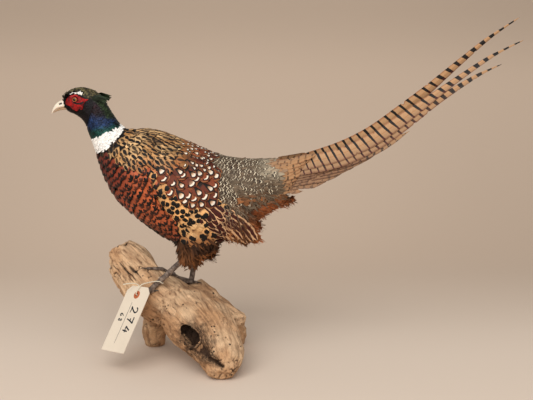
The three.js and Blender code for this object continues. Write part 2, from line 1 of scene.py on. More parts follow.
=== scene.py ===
"""A mounted cock ring-necked pheasant on its driftwood, with a paper tag on its leg.

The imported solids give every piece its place. This file gives them their looks: a
skin with plumage laid over it, horn, glass, bare skin, wood, card and string.
Lengths in the shapes' own code are millimetres, measured from the middle of the
body above the driftwood. The bird faces -X, its left side is -Y and Z is up.
"""

import collections
import functools
import math

import bpy
import numpy as np
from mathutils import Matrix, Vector, noise
from mathutils.bvhtree import BVHTree
from mathutils.geometry import delaunay_2d_cdt
from mathutils.kdtree import KDTree


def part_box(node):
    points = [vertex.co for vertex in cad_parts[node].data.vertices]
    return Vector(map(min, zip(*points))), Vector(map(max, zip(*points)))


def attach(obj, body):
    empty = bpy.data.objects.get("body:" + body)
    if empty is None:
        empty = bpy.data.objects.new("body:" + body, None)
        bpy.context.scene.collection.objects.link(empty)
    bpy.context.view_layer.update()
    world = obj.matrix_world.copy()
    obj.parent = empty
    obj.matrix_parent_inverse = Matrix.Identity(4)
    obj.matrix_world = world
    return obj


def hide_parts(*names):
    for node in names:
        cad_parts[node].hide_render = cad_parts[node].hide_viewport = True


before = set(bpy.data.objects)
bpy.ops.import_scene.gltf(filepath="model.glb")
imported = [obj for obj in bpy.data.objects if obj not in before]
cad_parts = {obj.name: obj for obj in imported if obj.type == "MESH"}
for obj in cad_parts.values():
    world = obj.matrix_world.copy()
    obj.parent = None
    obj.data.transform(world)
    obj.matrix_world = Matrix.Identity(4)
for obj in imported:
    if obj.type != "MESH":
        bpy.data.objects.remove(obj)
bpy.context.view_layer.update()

bl_info = {
    "name": "Mounted Pheasant",
    "version": (1, 0, 0),
    "blender": (4, 5, 0),
    "location": "View3D > Sidebar > Pheasant",
    "description": "Builds a mounted cock pheasant on driftwood round its packed solids",
    "category": "Object",
}

MM = 0.001
TAU = 2 * math.pi

# How much light a finish reflects face on. One rougher than this limit reflects less.
ROUGH_LIMIT = 0.4
SMOOTH_GLOSS = 0.5
DULL_GLOSS = 0.25

# Edges that turn by more than this many radians stay sharp.
FEATHER_CREASE = 1.1
HORN_CREASE = 1.0
CARD_CREASE = 0.7

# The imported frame's origin, seen from the maker's: the rump ends at this x, and
# the breast is centred on y = 0.
RUMP_END = 127.5
SHIFT = np.array([
    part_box("rump")[1][0] - RUMP_END * MM,
    (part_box("breast")[0][1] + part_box("breast")[1][1]) / 2,
    0.0,
])

# What each group's random numbers start from.
SEEDS = {"tail": 40, "quills": 60, "fluff": 80, "hairs": 81, "coverts": 83, "roots": 86, "ears": 90}

BODY = ("head", "neck", "neck_ring", "breast", "trunk", "rump", "wing_left", "wing_right")
SOFT_PARTS = ("thigh_left", "thigh_right", "vent_fluff", "undertail_coverts")
SIDES = (("left", -1), ("right", 1))


def to_frame(points):
    """Maker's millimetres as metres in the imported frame."""
    return np.asarray(points, dtype=float) * MM + SHIFT


def from_frame(points):
    """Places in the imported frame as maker's millimetres."""
    return (np.asarray(points, dtype=float) - SHIFT) / MM


def unit(vectors):
    """The vectors with a length of one."""
    vectors = np.asarray(vectors, dtype=float)
    return vectors / np.maximum(np.linalg.norm(vectors, axis=-1, keepdims=True), 1e-9)


def spline(points, count):
    """A smooth curve through points, as count points whose steps run evenly from one to the next."""
    knots = np.asarray(points, dtype=float)
    padded = np.vstack([2 * knots[0] - knots[1], knots, 2 * knots[-1] - knots[-2]])
    t = np.linspace(0, len(knots) - 1, count)
    i = np.minimum(t.astype(int), len(knots) - 2)
    f = (t - i)[:, None]
    a, b, c, d = padded[i], padded[i + 1], padded[i + 2], padded[i + 3]
    return 0.5 * (2 * b + (c - a) * f + (2 * a - 5 * b + 4 * c - d) * f**2 + (3 * b - a - 3 * c + d) * f**3)


def smoothstep(value, low, high):
    """0 at low, 1 at high and smooth between; low may be the higher."""
    t = np.clip((np.asarray(value, dtype=float) - low) / (high - low), 0, 1)
    return t * t * (3 - 2 * t)


def paint(code):
    """A linear colour from six hexadecimal digits of a display colour."""
    channels = [int(code[i:i + 2], 16) / 255 for i in (0, 2, 4)]
    return tuple(c / 12.92 if c <= 0.04045 else ((c + 0.055) / 1.055) ** 2.4 for c in channels)


def lengths_along(line):
    """How far along a line each of its points is."""
    return np.concatenate([[0], np.cumsum(np.linalg.norm(np.diff(line, axis=0), axis=1))])


def inside(polygon, x, z):
    """Which of the points x, z lie inside a closed outline."""
    result = np.zeros(np.shape(x), dtype=bool)
    corners = np.asarray(polygon, dtype=float)
    for (x0, z0), (x1, z1) in zip(corners, np.roll(corners, -1, axis=0)):
        if z0 == z1:
            continue
        crossing = (z0 > z) != (z1 > z)
        result ^= crossing & (x < x0 + (z - z0) * (x1 - x0) / (z1 - z0))
    return result


# ------------------------------------------------------------------ mesh helpers


def mesh_piece(name, points, faces, material, slot, uvs=None, attributes=None, sharp=None):
    """A piece from points in maker's millimetres and lists of equal-sided faces.

    Its attributes are numbers or colours at the points. With a slot it rides on the root;
    without one, what it rides on is stated later.
    """
    mesh = bpy.data.meshes.new(name)
    points = to_frame(points)
    mesh.vertices.add(len(points))
    mesh.vertices.foreach_set("co", points.astype(np.float32).ravel())
    loops = np.concatenate([np.asarray(f).ravel() for f in faces]).astype(np.int32)
    sizes = np.concatenate([np.full(len(f), np.shape(f)[1]) for f in faces])
    mesh.loops.add(len(loops))
    mesh.loops.foreach_set("vertex_index", loops)
    mesh.polygons.add(len(sizes))
    starts = np.concatenate([[0], np.cumsum(sizes)[:-1]]).astype(np.int32)
    mesh.polygons.foreach_set("loop_start", starts)
    mesh.update(calc_edges=True)
    for uv_name, values in (uvs or {}).items():
        layer = mesh.uv_layers.new(name=uv_name)
        layer.uv.foreach_set("vector", np.asarray(values, dtype=np.float32)[loops].ravel())
    for attribute_name, values in (attributes or {}).items():
        values = np.asarray(values, dtype=np.float32)
        if values.ndim == 1:
            mesh.attributes.new(attribute_name, "FLOAT", "POINT").data.foreach_set("value", values)
        else:
            colours = np.column_stack([values, np.ones(len(values))]).astype(np.float32)
            layer = mesh.attributes.new(attribute_name, "FLOAT_COLOR", "POINT")
            layer.data.foreach_set("color", colours.ravel())
    mesh.shade_smooth()
    if sharp:
        mesh.set_sharp_from_angle(angle=sharp)
    piece = bpy.data.objects.new(name, mesh)
    bpy.context.scene.collection.objects.link(piece)
    mesh.materials.append(material)
    if slot:
        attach(piece, "root")
    return piece


def mesh_arrays(mesh):
    """A mesh's points, in maker's millimetres, and its triangles."""
    points = np.empty(len(mesh.vertices) * 3)
    mesh.vertices.foreach_get("co", points)
    mesh.calc_loop_triangles()
    triangles = np.empty(len(mesh.loop_triangles) * 3, dtype=np.int32)
    mesh.loop_triangles.foreach_get("vertices", triangles)
    return from_frame(points.reshape(-1, 3)), triangles.reshape(-1, 3)


def cad_arrays(nodes):
    """The solids of some nodes as one set of points and triangles."""
    all_points, all_triangles, start = [], [], 0
    for node in nodes:
        points, triangles = mesh_arrays(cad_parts[node].data)
        all_points.append(points)
        all_triangles.append(triangles + start)
        start += len(points)
    return np.vstack(all_points), np.vstack(all_triangles)


def remeshed(nodes, voxel, smoothing):
    """The solids of some nodes melted into one even, smoothed surface."""
    points, triangles = cad_arrays(nodes)
    mesh = bpy.data.meshes.new("melt")
    mesh.from_pydata((points * MM).tolist(), [], triangles.tolist())
    melt = bpy.data.objects.new("melt", mesh)
    bpy.context.scene.collection.objects.link(melt)
    weld = melt.modifiers.new("weld", "WELD")
    weld.merge_threshold = 1e-6
    remesh = melt.modifiers.new("remesh", "REMESH")
    remesh.mode = "VOXEL"
    remesh.voxel_size = voxel * MM
    smooth = melt.modifiers.new("smooth", "SMOOTH")
    smooth.factor = 0.5
    smooth.iterations = smoothing
    evaluated = melt.evaluated_get(bpy.context.evaluated_depsgraph_get())
    result = bpy.data.meshes.new_from_object(evaluated)
    count = len(result.vertices)
    moved = np.empty(count * 3)
    result.vertices.foreach_get("co", moved)
    normals = np.empty(count * 3)
    result.vertices.foreach_get("normal", normals)
    quads = np.empty(len(result.polygons) * 4, dtype=np.int32)
    result.polygons.foreach_get("vertices", quads)
    bpy.data.objects.remove(melt)
    bpy.data.meshes.remove(mesh)
    bpy.data.meshes.remove(result)
    return moved.reshape(-1, 3) / MM, quads.reshape(-1, 4), normals.reshape(-1, 3)


def rings_mesh(rings):
    """The points, side faces and end caps of a row of like rings."""
    rows, size = rings.shape[:2]
    grid = np.arange(rows * size).reshape(rows, size)
    turned = np.roll(grid, -1, axis=1)
    quads = np.stack([grid[:-1], turned[:-1], turned[1:], grid[1:]], axis=-1).reshape(-1, 4)
    caps = np.stack([grid[0, ::-1], grid[-1]])
    return rings.reshape(-1, 3), quads, caps


def hoop_quads(rows, size):
    """The faces of a row of like rings whose last ring meets its first."""
    grid = np.arange(rows * size).reshape(rows, size)
    following = np.roll(grid, -1, axis=0)
    corners = [grid, following, np.roll(following, -1, axis=1), np.roll(grid, -1, axis=1)]
    return np.stack(corners, axis=-1).reshape(-1, 4)


def looks_against(points, face, direction):
    """Whether a face's front looks against a direction."""
    a, b, c = points[face[:3]]
    return np.dot(np.cross(b - a, c - a), direction) < 0


class Surface:
    """A surface in maker's millimetres that pieces can be laid on."""

    def __init__(self, points, faces):
        self.tree = BVHTree.FromPolygons(np.asarray(points).tolist(), np.asarray(faces).tolist())

    def nearest(self, points):
        """The surface's places that are nearest to points, and its normals there."""
        places = np.empty(np.shape(points))
        normals = np.empty(np.shape(points))
        for i, point in enumerate(points):
            place, normal, _, _ = self.tree.find_nearest(point)
            places[i] = place
            normals[i] = normal
        return places, normals

    def first_hit(self, origins, directions):
        """Where rays first meet the surface, and its normals there; a miss gives nan."""
        places = np.full(np.shape(origins), np.nan)
        normals = np.full(np.shape(origins), np.nan)
        for i, (origin, direction) in enumerate(zip(origins, directions)):
            place, normal, _, _ = self.tree.ray_cast(origin, direction)
            if place is not None:
                places[i] = place
                normals[i] = normal
        return places, normals


def wobble(points, scale, seed=0.0):
    """Smooth noise between about -1 and 1 at each point."""
    shift = Vector((seed * 17.3, seed * 5.1, -seed * 9.7))
    return np.array([noise.noise(Vector(p) * scale + shift) for p in np.asarray(points)])


# -------------------------------------------------------------- material helpers


class Value:
    """A number that varies over a surface: a node socket that sums can be done with."""

    def __init__(self, tree, socket):
        self.tree = tree
        self.socket = socket

    def __add__(self, other):
        return self.tree.math("ADD", self, other)

    def __sub__(self, other):
        return self.tree.math("SUBTRACT", self, other)

    def __rsub__(self, other):
        return self.tree.math("SUBTRACT", other, self)

    def __mul__(self, other):
        return self.tree.math("MULTIPLY", self, other)

    def __truediv__(self, other):
        return self.tree.math("DIVIDE", self, other)

    def __pow__(self, other):
        return self.tree.math("POWER", self, other)

    __radd__ = __add__
    __rmul__ = __mul__


class Finish:
    """A material and shorthand for the nodes that its pattern is made of."""

    def __init__(self, name, roughness=0.6, **settings):
        self.material = bpy.data.materials.new(name)
        self.material.use_nodes = True
        self.tree = self.material.node_tree
        self.shader = self.tree.nodes["Principled BSDF"]
        self.shader.inputs["Roughness"].default_value = roughness
        gloss = DULL_GLOSS if roughness > ROUGH_LIMIT else SMOOTH_GLOSS
        self.shader.inputs["Specular IOR Level"].default_value = gloss
        for key, value in settings.items():
            self.shader.inputs[key.replace("_", " ")].default_value = value

    def node(self, kind, inputs=None, **settings):
        """A new node with its settings made and its inputs filled."""
        node = self.tree.nodes.new(kind)
        for key, value in settings.items():
            setattr(node, key, value)
        for key, value in (inputs or {}).items():
            self.put(node.inputs[key], value)
        return node

    def put(self, target, value):
        """Link a value, a socket or a plain number or colour into a socket."""
        if isinstance(value, Value):
            value = value.socket
        if isinstance(value, bpy.types.NodeSocket):
            self.tree.links.new(value, target)
        elif target.type == "RGBA":
            target.default_value = (*value, 1)
        else:
            target.default_value = value

    def math(self, operation, *values):
        """The result of one sum."""
        node = self.node("ShaderNodeMath", operation=operation)
        for target, value in zip(node.inputs, values):
            self.put(target, value)
        return Value(self, node.outputs[0])

    def size(self, value):
        """The value without its sign."""
        return self.math("ABSOLUTE", value)

    def step(self, value, low, high):
        """0 below low, 1 above high and smooth between; low may be the higher."""
        inputs = {"Value": value, "From Min": low, "From Max": high}
        node = self.node("ShaderNodeMapRange", inputs, interpolation_type="SMOOTHSTEP")
        return Value(self, node.outputs[0])

    def uv(self, name):
        """The two numbers of one of the piece's maps."""
        node = self.node("ShaderNodeUVMap", uv_map=name)
        parts = self.node("ShaderNodeSeparateXYZ", {0: node.outputs[0]})
        return Value(self, parts.outputs[0]), Value(self, parts.outputs[1])

    def place(self):
        """The surface's own place, in metres."""
        return self.node("ShaderNodeTexCoord").outputs["Object"]

    def attribute(self, name, colour=False):
        """One of the piece's own values or colours."""
        node = self.node("ShaderNodeAttribute", attribute_name=name)
        return node.outputs["Color"] if colour else Value(self, node.outputs["Fac"])

    def vector(self, x, y, z=0.0):
        """Three numbers as one vector."""
        return self.node("ShaderNodeCombineXYZ", {0: x, 1: y, 2: z}).outputs[0]

    def noise(self, vector, scale, detail=2.0, roughness=0.5):
        """Cloudy noise about 0.5."""
        inputs = {"Vector": vector, "Scale": scale, "Detail": detail, "Roughness": roughness}
        return Value(self, self.node("ShaderNodeTexNoise", inputs).outputs["Fac"])

    def cells(self, vector, scale, feature="F1"):
        """How far each place is from the nearest of some scattered points."""
        inputs = {"Vector": vector, "Scale": scale}
        node = self.node("ShaderNodeTexVoronoi", inputs, feature=feature)
        return Value(self, node.outputs["Distance"])

    def mix(self, factor, first, second, blend="MIX"):
        """Two colours mixed by a factor."""
        node = self.node("ShaderNodeMix", data_type="RGBA", blend_type=blend)
        self.put(node.inputs[0], factor)
        self.put(node.inputs[6], first)
        self.put(node.inputs[7], second)
        return node.outputs[2]

    def shade(self, colour, factor):
        """A colour made lighter or darker by a varying factor."""
        grey = self.node("ShaderNodeCombineColor", {0: factor, 1: factor, 2: factor})
        return self.mix(1.0, colour, grey.outputs[0], blend="MULTIPLY")

    def bump(self, height, distance, strength=1.0):
        """Raise the surface by a height between 0 and 1."""
        inputs = {"Height": height, "Distance": distance, "Strength": strength}
        node = self.node("ShaderNodeBump", inputs)
        self.tree.links.new(node.outputs[0], self.shader.inputs["Normal"])

    def done(self, colour, roughness=None):
        """The material, with its colour put in."""
        self.put(self.shader.inputs["Base Color"], colour)
        if roughness is not None:
            self.put(self.shader.inputs["Roughness"], roughness)
        return self.material


def grained(name, colour, roughness, scale, dark, contrast, relief=None, detail=3.0, ragged=0.5, **settings):
    """A plain material whose fine grain shades it from a dark factor up, and may raise it."""
    finish = Finish(name, roughness, **settings)
    grain = finish.noise(finish.place(), scale, detail, ragged)
    if relief:
        finish.bump(grain, *relief)
    return finish.done(finish.shade(colour, dark + grain * contrast))


# -------------------------------------------------------------- the bird's body

# The body's ribs from the bill's base to the tail's root: top x, top z, bottom x, bottom z.
RIBS = (
    (-193, 395, -190, 377), (-188, 402, -185, 374), (-180, 407.5, -177, 371),
    (-167, 411, -169, 366), (-153, 408.5, -163, 360), (-141, 403, -160, 354),
    (-131, 390, -158, 347), (-120, 371, -155, 339), (-109, 355, -151, 329),
    (-98, 348, -146, 313), (-86, 347, -140, 292), (-75, 348, -131, 268),
    (-62, 347, -118, 245), (-48, 344, -98, 224), (-32, 338, -71, 202),
    (-12, 330, -41, 181), (8, 321, -8, 168), (28, 312, 28, 174),
    (50, 306, 61, 194), (72, 303, 88, 210), (98, 302.5, 111, 223), (127, 303, 127.5, 239),
)
EYE = np.array([-172.6, 12.2, 393.7])
EYE_RADIUS = 4.75
EYE_RINGS, EYE_SPOKES = 30, 40
PUPIL_COLOUR = (0.004, 0.004, 0.005)

# Outlines, seen from the side, of the parts of the plumage.
CROWN = (
    (-196, 396), (-190, 399), (-184, 404), (-175, 406.5), (-163, 402), (-155, 396),
    (-143, 397), (-136, 394), (-124, 384), (-118, 425), (-202, 425),
)
BROW = (
    (-185, 400.9), (-179.4, 402.7), (-174.7, 404.1), (-169.5, 404.2), (-166.4, 406), (-163.5, 404.2),
    (-160.5, 402), (-162.5, 400.5), (-159.6, 398.4), (-165.6, 400.7), (-168.7, 402.4), (-174.7, 403),
    (-179.4, 401.6),
)
WATTLE = (
    (-188.2, 387.5), (-187.4, 391.8), (-183.4, 397.4), (-178, 400.6), (-172, 401.3), (-167, 399.5),
    (-163, 396.7), (-157.6, 395.2), (-152.2, 394), (-157, 391.2), (-159.8, 387), (-161.4, 381.5),
    (-163.6, 378.2), (-167, 379.6), (-171, 375.8), (-176, 377.4), (-180.4, 381.1),
    (-183.2, 384.2), (-186, 384.9),
)
COLLAR_TOP = ((-153, 334), (-141, 339), (-132, 345), (-120, 348.5), (-110, 354), (-100, 366))
COLLAR_BOTTOM = ((-152, 313), (-143, 316), (-133, 319), (-122, 326), (-113, 337), (-104, 350), (-96, 364))
MANTLE = (
    (-147, 314), (-137, 317), (-122, 325), (-112, 336), (-103, 349), (-98, 380), (-38, 380),
    (-36, 351), (-23, 341), (-18, 329), (-16, 314), (-20, 301), (-39, 299), (-59, 296),
    (-75, 295), (-92, 297), (-102, 301), (-113, 307), (-125, 315),
)
BACK = (
    (-20, 301), (-39, 299), (-59, 296), (-56, 295), (-39, 279), (-25, 261), (-9, 254),
    (5, 245), (18, 238), (28, 240), (40, 254), (38, 275), (31, 295), (28, 318),
    (16, 345), (10, 380), (-38, 380), (-36, 351), (-23, 341), (-18, 329), (-16, 314),
)
FLANK = (
    (-59, 295), (-53, 283), (-51, 266), (-47, 251), (-39, 238), (-31, 229), (-23, 207),
    (-18, 184), (-4, 184), (12, 184), (30, 188), (60, 180), (66, 182), (62, 205),
    (56, 228), (44, 246), (40, 254), (28, 244), (5, 249), (-25, 264), (-39, 279), (-56, 295),
)
WING = (
    (14, 231), (22, 238), (31, 243), (41, 244), (60, 223), (66, 212), (66, 183), (37, 183),
    (29, 200), (19, 218),
)
BREAST = (
    (-190, 335), (-147, 312), (-137, 316), (-125, 316), (-113, 308), (-92, 298), (-59, 296),
    (-53, 283), (-51, 266), (-47, 251), (-39, 238), (-31, 229), (-23, 207), (-18, 184),
    (-40, 160), (-190, 160),
)
RUMP = (
    (36, 256), (38, 275), (31, 295), (28, 318), (16, 345), (10, 380), (135, 380), (135, 246),
    (118, 246), (101, 241), (83, 234), (66, 230), (51, 240),
)


def collar_level(x, z):
    """Below 0 above the white collar, 0 to 1 on it and over 1 below it."""
    top = np.asarray(COLLAR_TOP, dtype=float)
    bottom = np.asarray(COLLAR_BOTTOM, dtype=float)
    upper = z - np.interp(x, top[:, 0], top[:, 1])
    lower = z - np.interp(x, bottom[:, 0], bottom[:, 1])
    return -upper / np.maximum(lower - upper, 1)


class Body:
    """The bird's feathered surface, mapped by how far along the ribs and how far round."""

    STATIONS, SPOKES = 253, 180
    VOXEL, RIB_VOXEL, SMOOTHING = 1.6, 1.8, 8

    def __init__(self):
        self.points, self.faces, self.normals = remeshed(BODY + SOFT_PARTS, self.VOXEL, self.SMOOTHING)
        self.surface = Surface(self.points, self.faces)
        bare, bare_faces, _ = remeshed(BODY, self.RIB_VOXEL, self.SMOOTHING)
        ribs = spline(RIBS, self.STATIONS)
        top = np.stack([ribs[:, 0], 0 * ribs[:, 0], ribs[:, 1]], axis=1)
        bottom = np.stack([ribs[:, 2], 0 * ribs[:, 0], ribs[:, 3]], axis=1)
        up = unit(top - bottom)
        turn = np.arange(self.SPOKES) * TAU / self.SPOKES
        away = np.cos(turn)[None, :, None] * up[:, None] - np.sin(turn)[None, :, None] * np.array([0, 1, 0])
        start = ((top + bottom) / 2)[:, None] + away * 150
        hits, _ = Surface(bare, bare_faces).first_hit(start.reshape(-1, 3), -away.reshape(-1, 3))
        grid = hits.reshape(self.STATIONS, self.SPOKES, 3)
        for column in range(self.SPOKES):
            for axis in range(3):
                values = grid[:, column, axis]
                good = ~np.isnan(values)
                values[~good] = np.interp(np.flatnonzero(~good), np.flatnonzero(good), values[good])
        self.grid = grid
        self.run = lengths_along(grid[:, self.SPOKES // 4])

    def at(self, station, turn):
        """The surface's points at some stations, counted in ribs, and turns from the top."""
        s = np.clip(np.asarray(station) * (self.STATIONS - 1) / (len(RIBS) - 1), 0, self.STATIONS - 1.001)
        t = np.mod(np.asarray(turn) / TAU, 1) * self.SPOKES
        i, j = s.astype(int), t.astype(int) % self.SPOKES
        k = (j + 1) % self.SPOKES
        fs, ft = (s - i)[..., None], (t - np.floor(t))[..., None]
        low = self.grid[i, j] * (1 - ft) + self.grid[i, k] * ft
        high = self.grid[i + 1, j] * (1 - ft) + self.grid[i + 1, k] * ft
        return low * (1 - fs) + high * fs

    def lattice(self, first, last, row_step, step, rng, jitter=0.16):
        """Staggered rows of stations and turns between two ribs, at steps in millimetres."""
        scale = (len(RIBS) - 1) / (self.STATIONS - 1)
        ends = np.interp([first, last], np.arange(self.STATIONS) * scale, self.run)
        stations, turns = [], []
        fine = np.linspace(0, TAU, self.SPOKES * 4 + 1)
        for row, length in enumerate(np.arange(ends[0], ends[1], row_step)):
            station = np.interp(length, self.run, np.arange(self.STATIONS) * scale)
            ring = self.at(np.full(len(fine), station), fine)
            girth = lengths_along(ring)
            count = max(8, int(girth[-1] / step))
            places = (np.arange(count) + 0.5 * (row % 2) + rng.uniform(-jitter, jitter, count)) / count
            turns.append(np.interp(np.mod(places, 1) * girth[-1], girth, fine))
            jog = rng.uniform(-jitter, jitter, count) * row_step
            stations.append(np.interp(length + jog, self.run, np.arange(self.STATIONS) * scale))
        return np.concatenate(stations), np.concatenate(turns)

    def station_of(self, points):
        """How far along the ribs each point is, and its turn from the top."""
        coarse = self.grid[::3, ::3].reshape(-1, 3)
        tree = KDTree(len(coarse))
        for i, point in enumerate(coarse):
            tree.insert(point, i)
        tree.balance()
        found = np.array([tree.find(point)[1] for point in points])
        across = self.SPOKES // 3
        scale = (len(RIBS) - 1) / (self.STATIONS - 1)
        return found // across * 3 * scale, found % across * 3 * TAU / self.SPOKES

    def face_places(self):
        """A place on each face of the surface, its station and its turn."""
        places = self.points[self.faces[:, 0]]
        return places, *self.station_of(places)


@functools.cache
def body():
    """The bird's body, made once."""
    return Body()


# ---------------------------------------------------------------- single feathers


class Vane:
    """The shape of one feather: closed, with a curved upper face and a flat lower one."""

    def __init__(self, rows, columns, widest=0.62, root=0.3, pointed=1.0):
        self.rows, self.columns = rows, columns
        along = np.sin(np.linspace(0, 1, rows + 2)[1:-1] * math.pi / 2) ** 0.9
        beyond = np.clip((along - widest) / (1 - widest), 0, 1)
        before = np.clip(along / widest, 0, 1)
        half = (root + (1 - root) * np.sin(before * math.pi / 2)) * (1 - beyond**2) ** (0.5 * pointed)
        across = np.linspace(-1, 1, columns)
        self.along = np.concatenate([[0], np.repeat(along, columns), [1]])
        self.across = np.concatenate([[0], np.tile(across, rows), [0]])
        self.half = np.concatenate([[0], np.repeat(half, columns), [0]])
        self.row = np.concatenate([[0], np.repeat(np.arange(rows), columns), [rows - 1]])
        grid = 1 + np.arange(rows * columns).reshape(rows, columns)
        tip = rows * columns + 1
        first, last = grid[0], grid[-1]
        root_fan = np.stack([0 * first[1:], first[1:], first[:-1]], axis=1)
        tip_fan = np.stack([last[:-1], last[1:], 0 * last[1:] + tip], axis=1)
        below = [[0, first[0], first[-1]], [last[-1], last[0], tip]]
        self.triangles = np.vstack([root_fan, tip_fan, below])
        top = np.stack([grid[:-1, :-1], grid[:-1, 1:], grid[1:, 1:], grid[1:, :-1]], axis=-1)
        under = np.stack([grid[:-1, 0], grid[1:, 0], grid[1:, -1], grid[:-1, -1]], axis=-1)
        self.quads = np.vstack([top.reshape(-1, 4), under.reshape(-1, 4)])
        self.count = tip + 1


def lay_vanes(vane, surface, roots, lies, lengths, widths, rng, depth=3.0, lift=0.6,
              camber=0.1, rough=0.07, sweep=0.1, cling=1.0):
    """The points of feathers laid on a surface from their roots, each along its own lie."""
    places, normals = surface.nearest(roots)
    lies = unit(lies - normals * np.sum(lies * normals, axis=1, keepdims=True))
    sides = np.cross(lies, normals)
    count = len(roots)
    ragged = 1 + rng.normal(0, rough, (count, vane.rows, 2))
    curve = rng.normal(0, sweep, count)
    spread = vane.half[None] * vane.across[None]
    left = ragged[:, vane.row, 0]
    right = ragged[:, vane.row, 1]
    spread = spread * np.where(vane.across[None] < 0, left, right)
    u = spread * widths[:, None] / 2 + curve[:, None] * vane.along[None] ** 2 * lengths[:, None]
    v = vane.along[None] * lengths[:, None]
    flat = places[:, None] + lies[:, None] * v[..., None] + sides[:, None] * u[..., None]
    laid, laid_normals = surface.nearest(flat.reshape(-1, 3))
    laid = laid.reshape(flat.shape) * cling + flat * (1 - cling)
    laid_normals = laid_normals.reshape(flat.shape)
    jitter = rng.normal(0, 0.12, count)[:, None]
    tilt = rng.normal(0, 0.035, count)[:, None] * vane.across[None] * widths[:, None] * vane.half[None]
    bow = camber * widths[:, None] * vane.half[None] * (1 - vane.across[None] ** 2)
    lifts = lift if np.ndim(lift) else np.full(count, lift)
    height = -depth * (1 - vane.along[None]) + lifts[:, None] * vane.along[None]
    height = height + jitter + tilt + bow
    return laid + laid_normals * height[..., None]


def coat_piece(name, vane, points, stations, turns, colours, tones, material, slot):
    """Feathers joined into one piece, with their two maps and their colours."""
    count = len(points)
    offsets = (np.arange(count) * vane.count)[:, None, None]
    triangles = (vane.triangles[None] + offsets).reshape(-1, 3)
    quads = (vane.quads[None] + offsets).reshape(-1, 4)
    u = (vane.across[None] * vane.half[None] + 1) / 2
    across = np.repeat((vane.across[None] + 1) / 2, count, 0)
    feather = np.stack([across, np.repeat(vane.along[None], count, 0)], -1)
    bake = np.empty((count, vane.count, 2))
    bake[..., 0] = 0.01 + 0.98 * (turns / TAU)[:, None] + (u - 0.5) * 0.003
    bake[..., 1] = 0.01 + 0.98 * (stations / (len(RIBS) - 1))[:, None] + (vane.along[None] - 0.5) * 0.003
    uvs = {"feather": feather.reshape(-1, 2), "OFBake": bake.reshape(-1, 2)}
    attributes = {
        "ground": np.repeat(colours, vane.count, axis=0),
        "tone": np.repeat(tones, vane.count),
    }
    return mesh_piece(
        name, points.reshape(-1, 3), [triangles, quads], material, slot, uvs, attributes, sharp=FEATHER_CREASE
    )


# ------------------------------------------------------------- plumage finishes


class FeatherFinish(Finish):
    """A finish that varies across a feather (-1 to 1) and along it, from feather to feather."""

    def __init__(self, name, roughness=0.62, **settings):
        super().__init__(name, roughness, **settings)
        u, self.along = self.uv("feather")
        self.across = (u - 0.5) * 2
        self.tone = self.attribute("tone")

    @property
    def rim(self):
        """How far out towards the rounded tip, where 1 is the tip itself."""
        return self.along + self.across * self.across * 0.1

    @property
    def ground(self):
        """Each feather's own ground colour."""
        return self.attribute("ground", colour=True)

    def streaked(self, wide):
        """A long feather's streaks, which slant back from the shaft and raise the web."""
        slant = (self.along * 30 - self.size(self.across) * 2.5) * 2
        streak = self.noise(self.vector(slant, self.across * wide, self.tone * 9), 3.0, 3.0)
        self.bump(streak, 0.0005, 0.4)
        return streak

    def ragged(self, wide, long):
        """Noise about 0, coarse or fine across and along, that differs from feather to feather."""
        place = self.vector(self.across * wide, self.along * long, self.tone * 60)
        return self.noise(place, 2.0, 2.0) - 0.5

    def barbed(self, colour, stretch=9.0, strength=0.3):
        """The material, in a colour streaked by the barbs, which slant back from the shaft."""
        side = self.size(self.across)
        slant = self.along * stretch - side * stretch * 0.22
        streak = self.noise(self.vector(slant * 6, self.across * 1.3, self.tone * 40), 2.2, 3.0)
        self.bump(streak, 0.0004, 0.35)
        light = 1 - strength + streak * strength * 2
        shaft = self.step(side, 0.02, 0.07)
        return self.done(self.shade(colour, light * (0.86 + self.tone * 0.28) * (0.8 + shaft * 0.2)))


def blot(finish, across, along, x, y, wide, long, soft=0.13):
    """1 inside an ellipse on a feather and 0 outside it."""
    reach = ((across - x) / wide) ** 2 + ((along - y) / long) ** 2
    return finish.step(reach, 1 + soft, 1 - soft)


def spotted_feather(name, colours):
    """Straw gold, with a black dash near the tip and a dark base."""
    finish = FeatherFinish(name)
    across, along, rim, tone = finish.across, finish.along, finish.rim, finish.tone
    mark = finish.attribute("mark")
    base = finish.mix(finish.step(along, 0.64, 0.5), finish.ground, colours.black)
    edged = finish.mix(finish.step(rim, 0.9, 1.0) * (0.12 + tone * 0.4), base, colours.quill_dark)
    lean = (tone - 0.5) * 0.3
    dash = blot(finish, across + lean * (along - 0.84) * 3, along, 0, 0.83, 0.46, 0.225)
    outline = finish.step(rim, 0.965, 1.0) * finish.step(tone, 0.6, 0.7) * 0.8
    dark = finish.math("MINIMUM", dash * mark + outline * mark, 1.0)
    return finish.barbed(finish.mix(dark, edged, colours.black), strength=0.4)


def scalloped_feather(name, colours):
    """Copper, with a glossy black fringe and a notch at the shaft."""
    finish = FeatherFinish(name, 0.46, Metallic=0.12)
    glow = finish.mix(finish.step(finish.rim, 0.74, 0.9) * 0.45, finish.ground, colours.maroon)
    base = finish.mix(finish.step(finish.along, 0.5, 0.36), glow, colours.black)
    fringe = finish.step(finish.rim + finish.ragged(2.2, 3) * 0.18, 0.83, 0.87)
    notch = blot(finish, finish.across, finish.along, 0, 0.87, 0.36, 0.2)
    dark = finish.math("MAXIMUM", fringe, notch) * finish.attribute("mark")
    dark = dark * (0.75 + finish.step(finish.tone, 0.05, 0.2) * 0.25)
    return finish.barbed(finish.mix(dark, base, colours.black), strength=0.42)


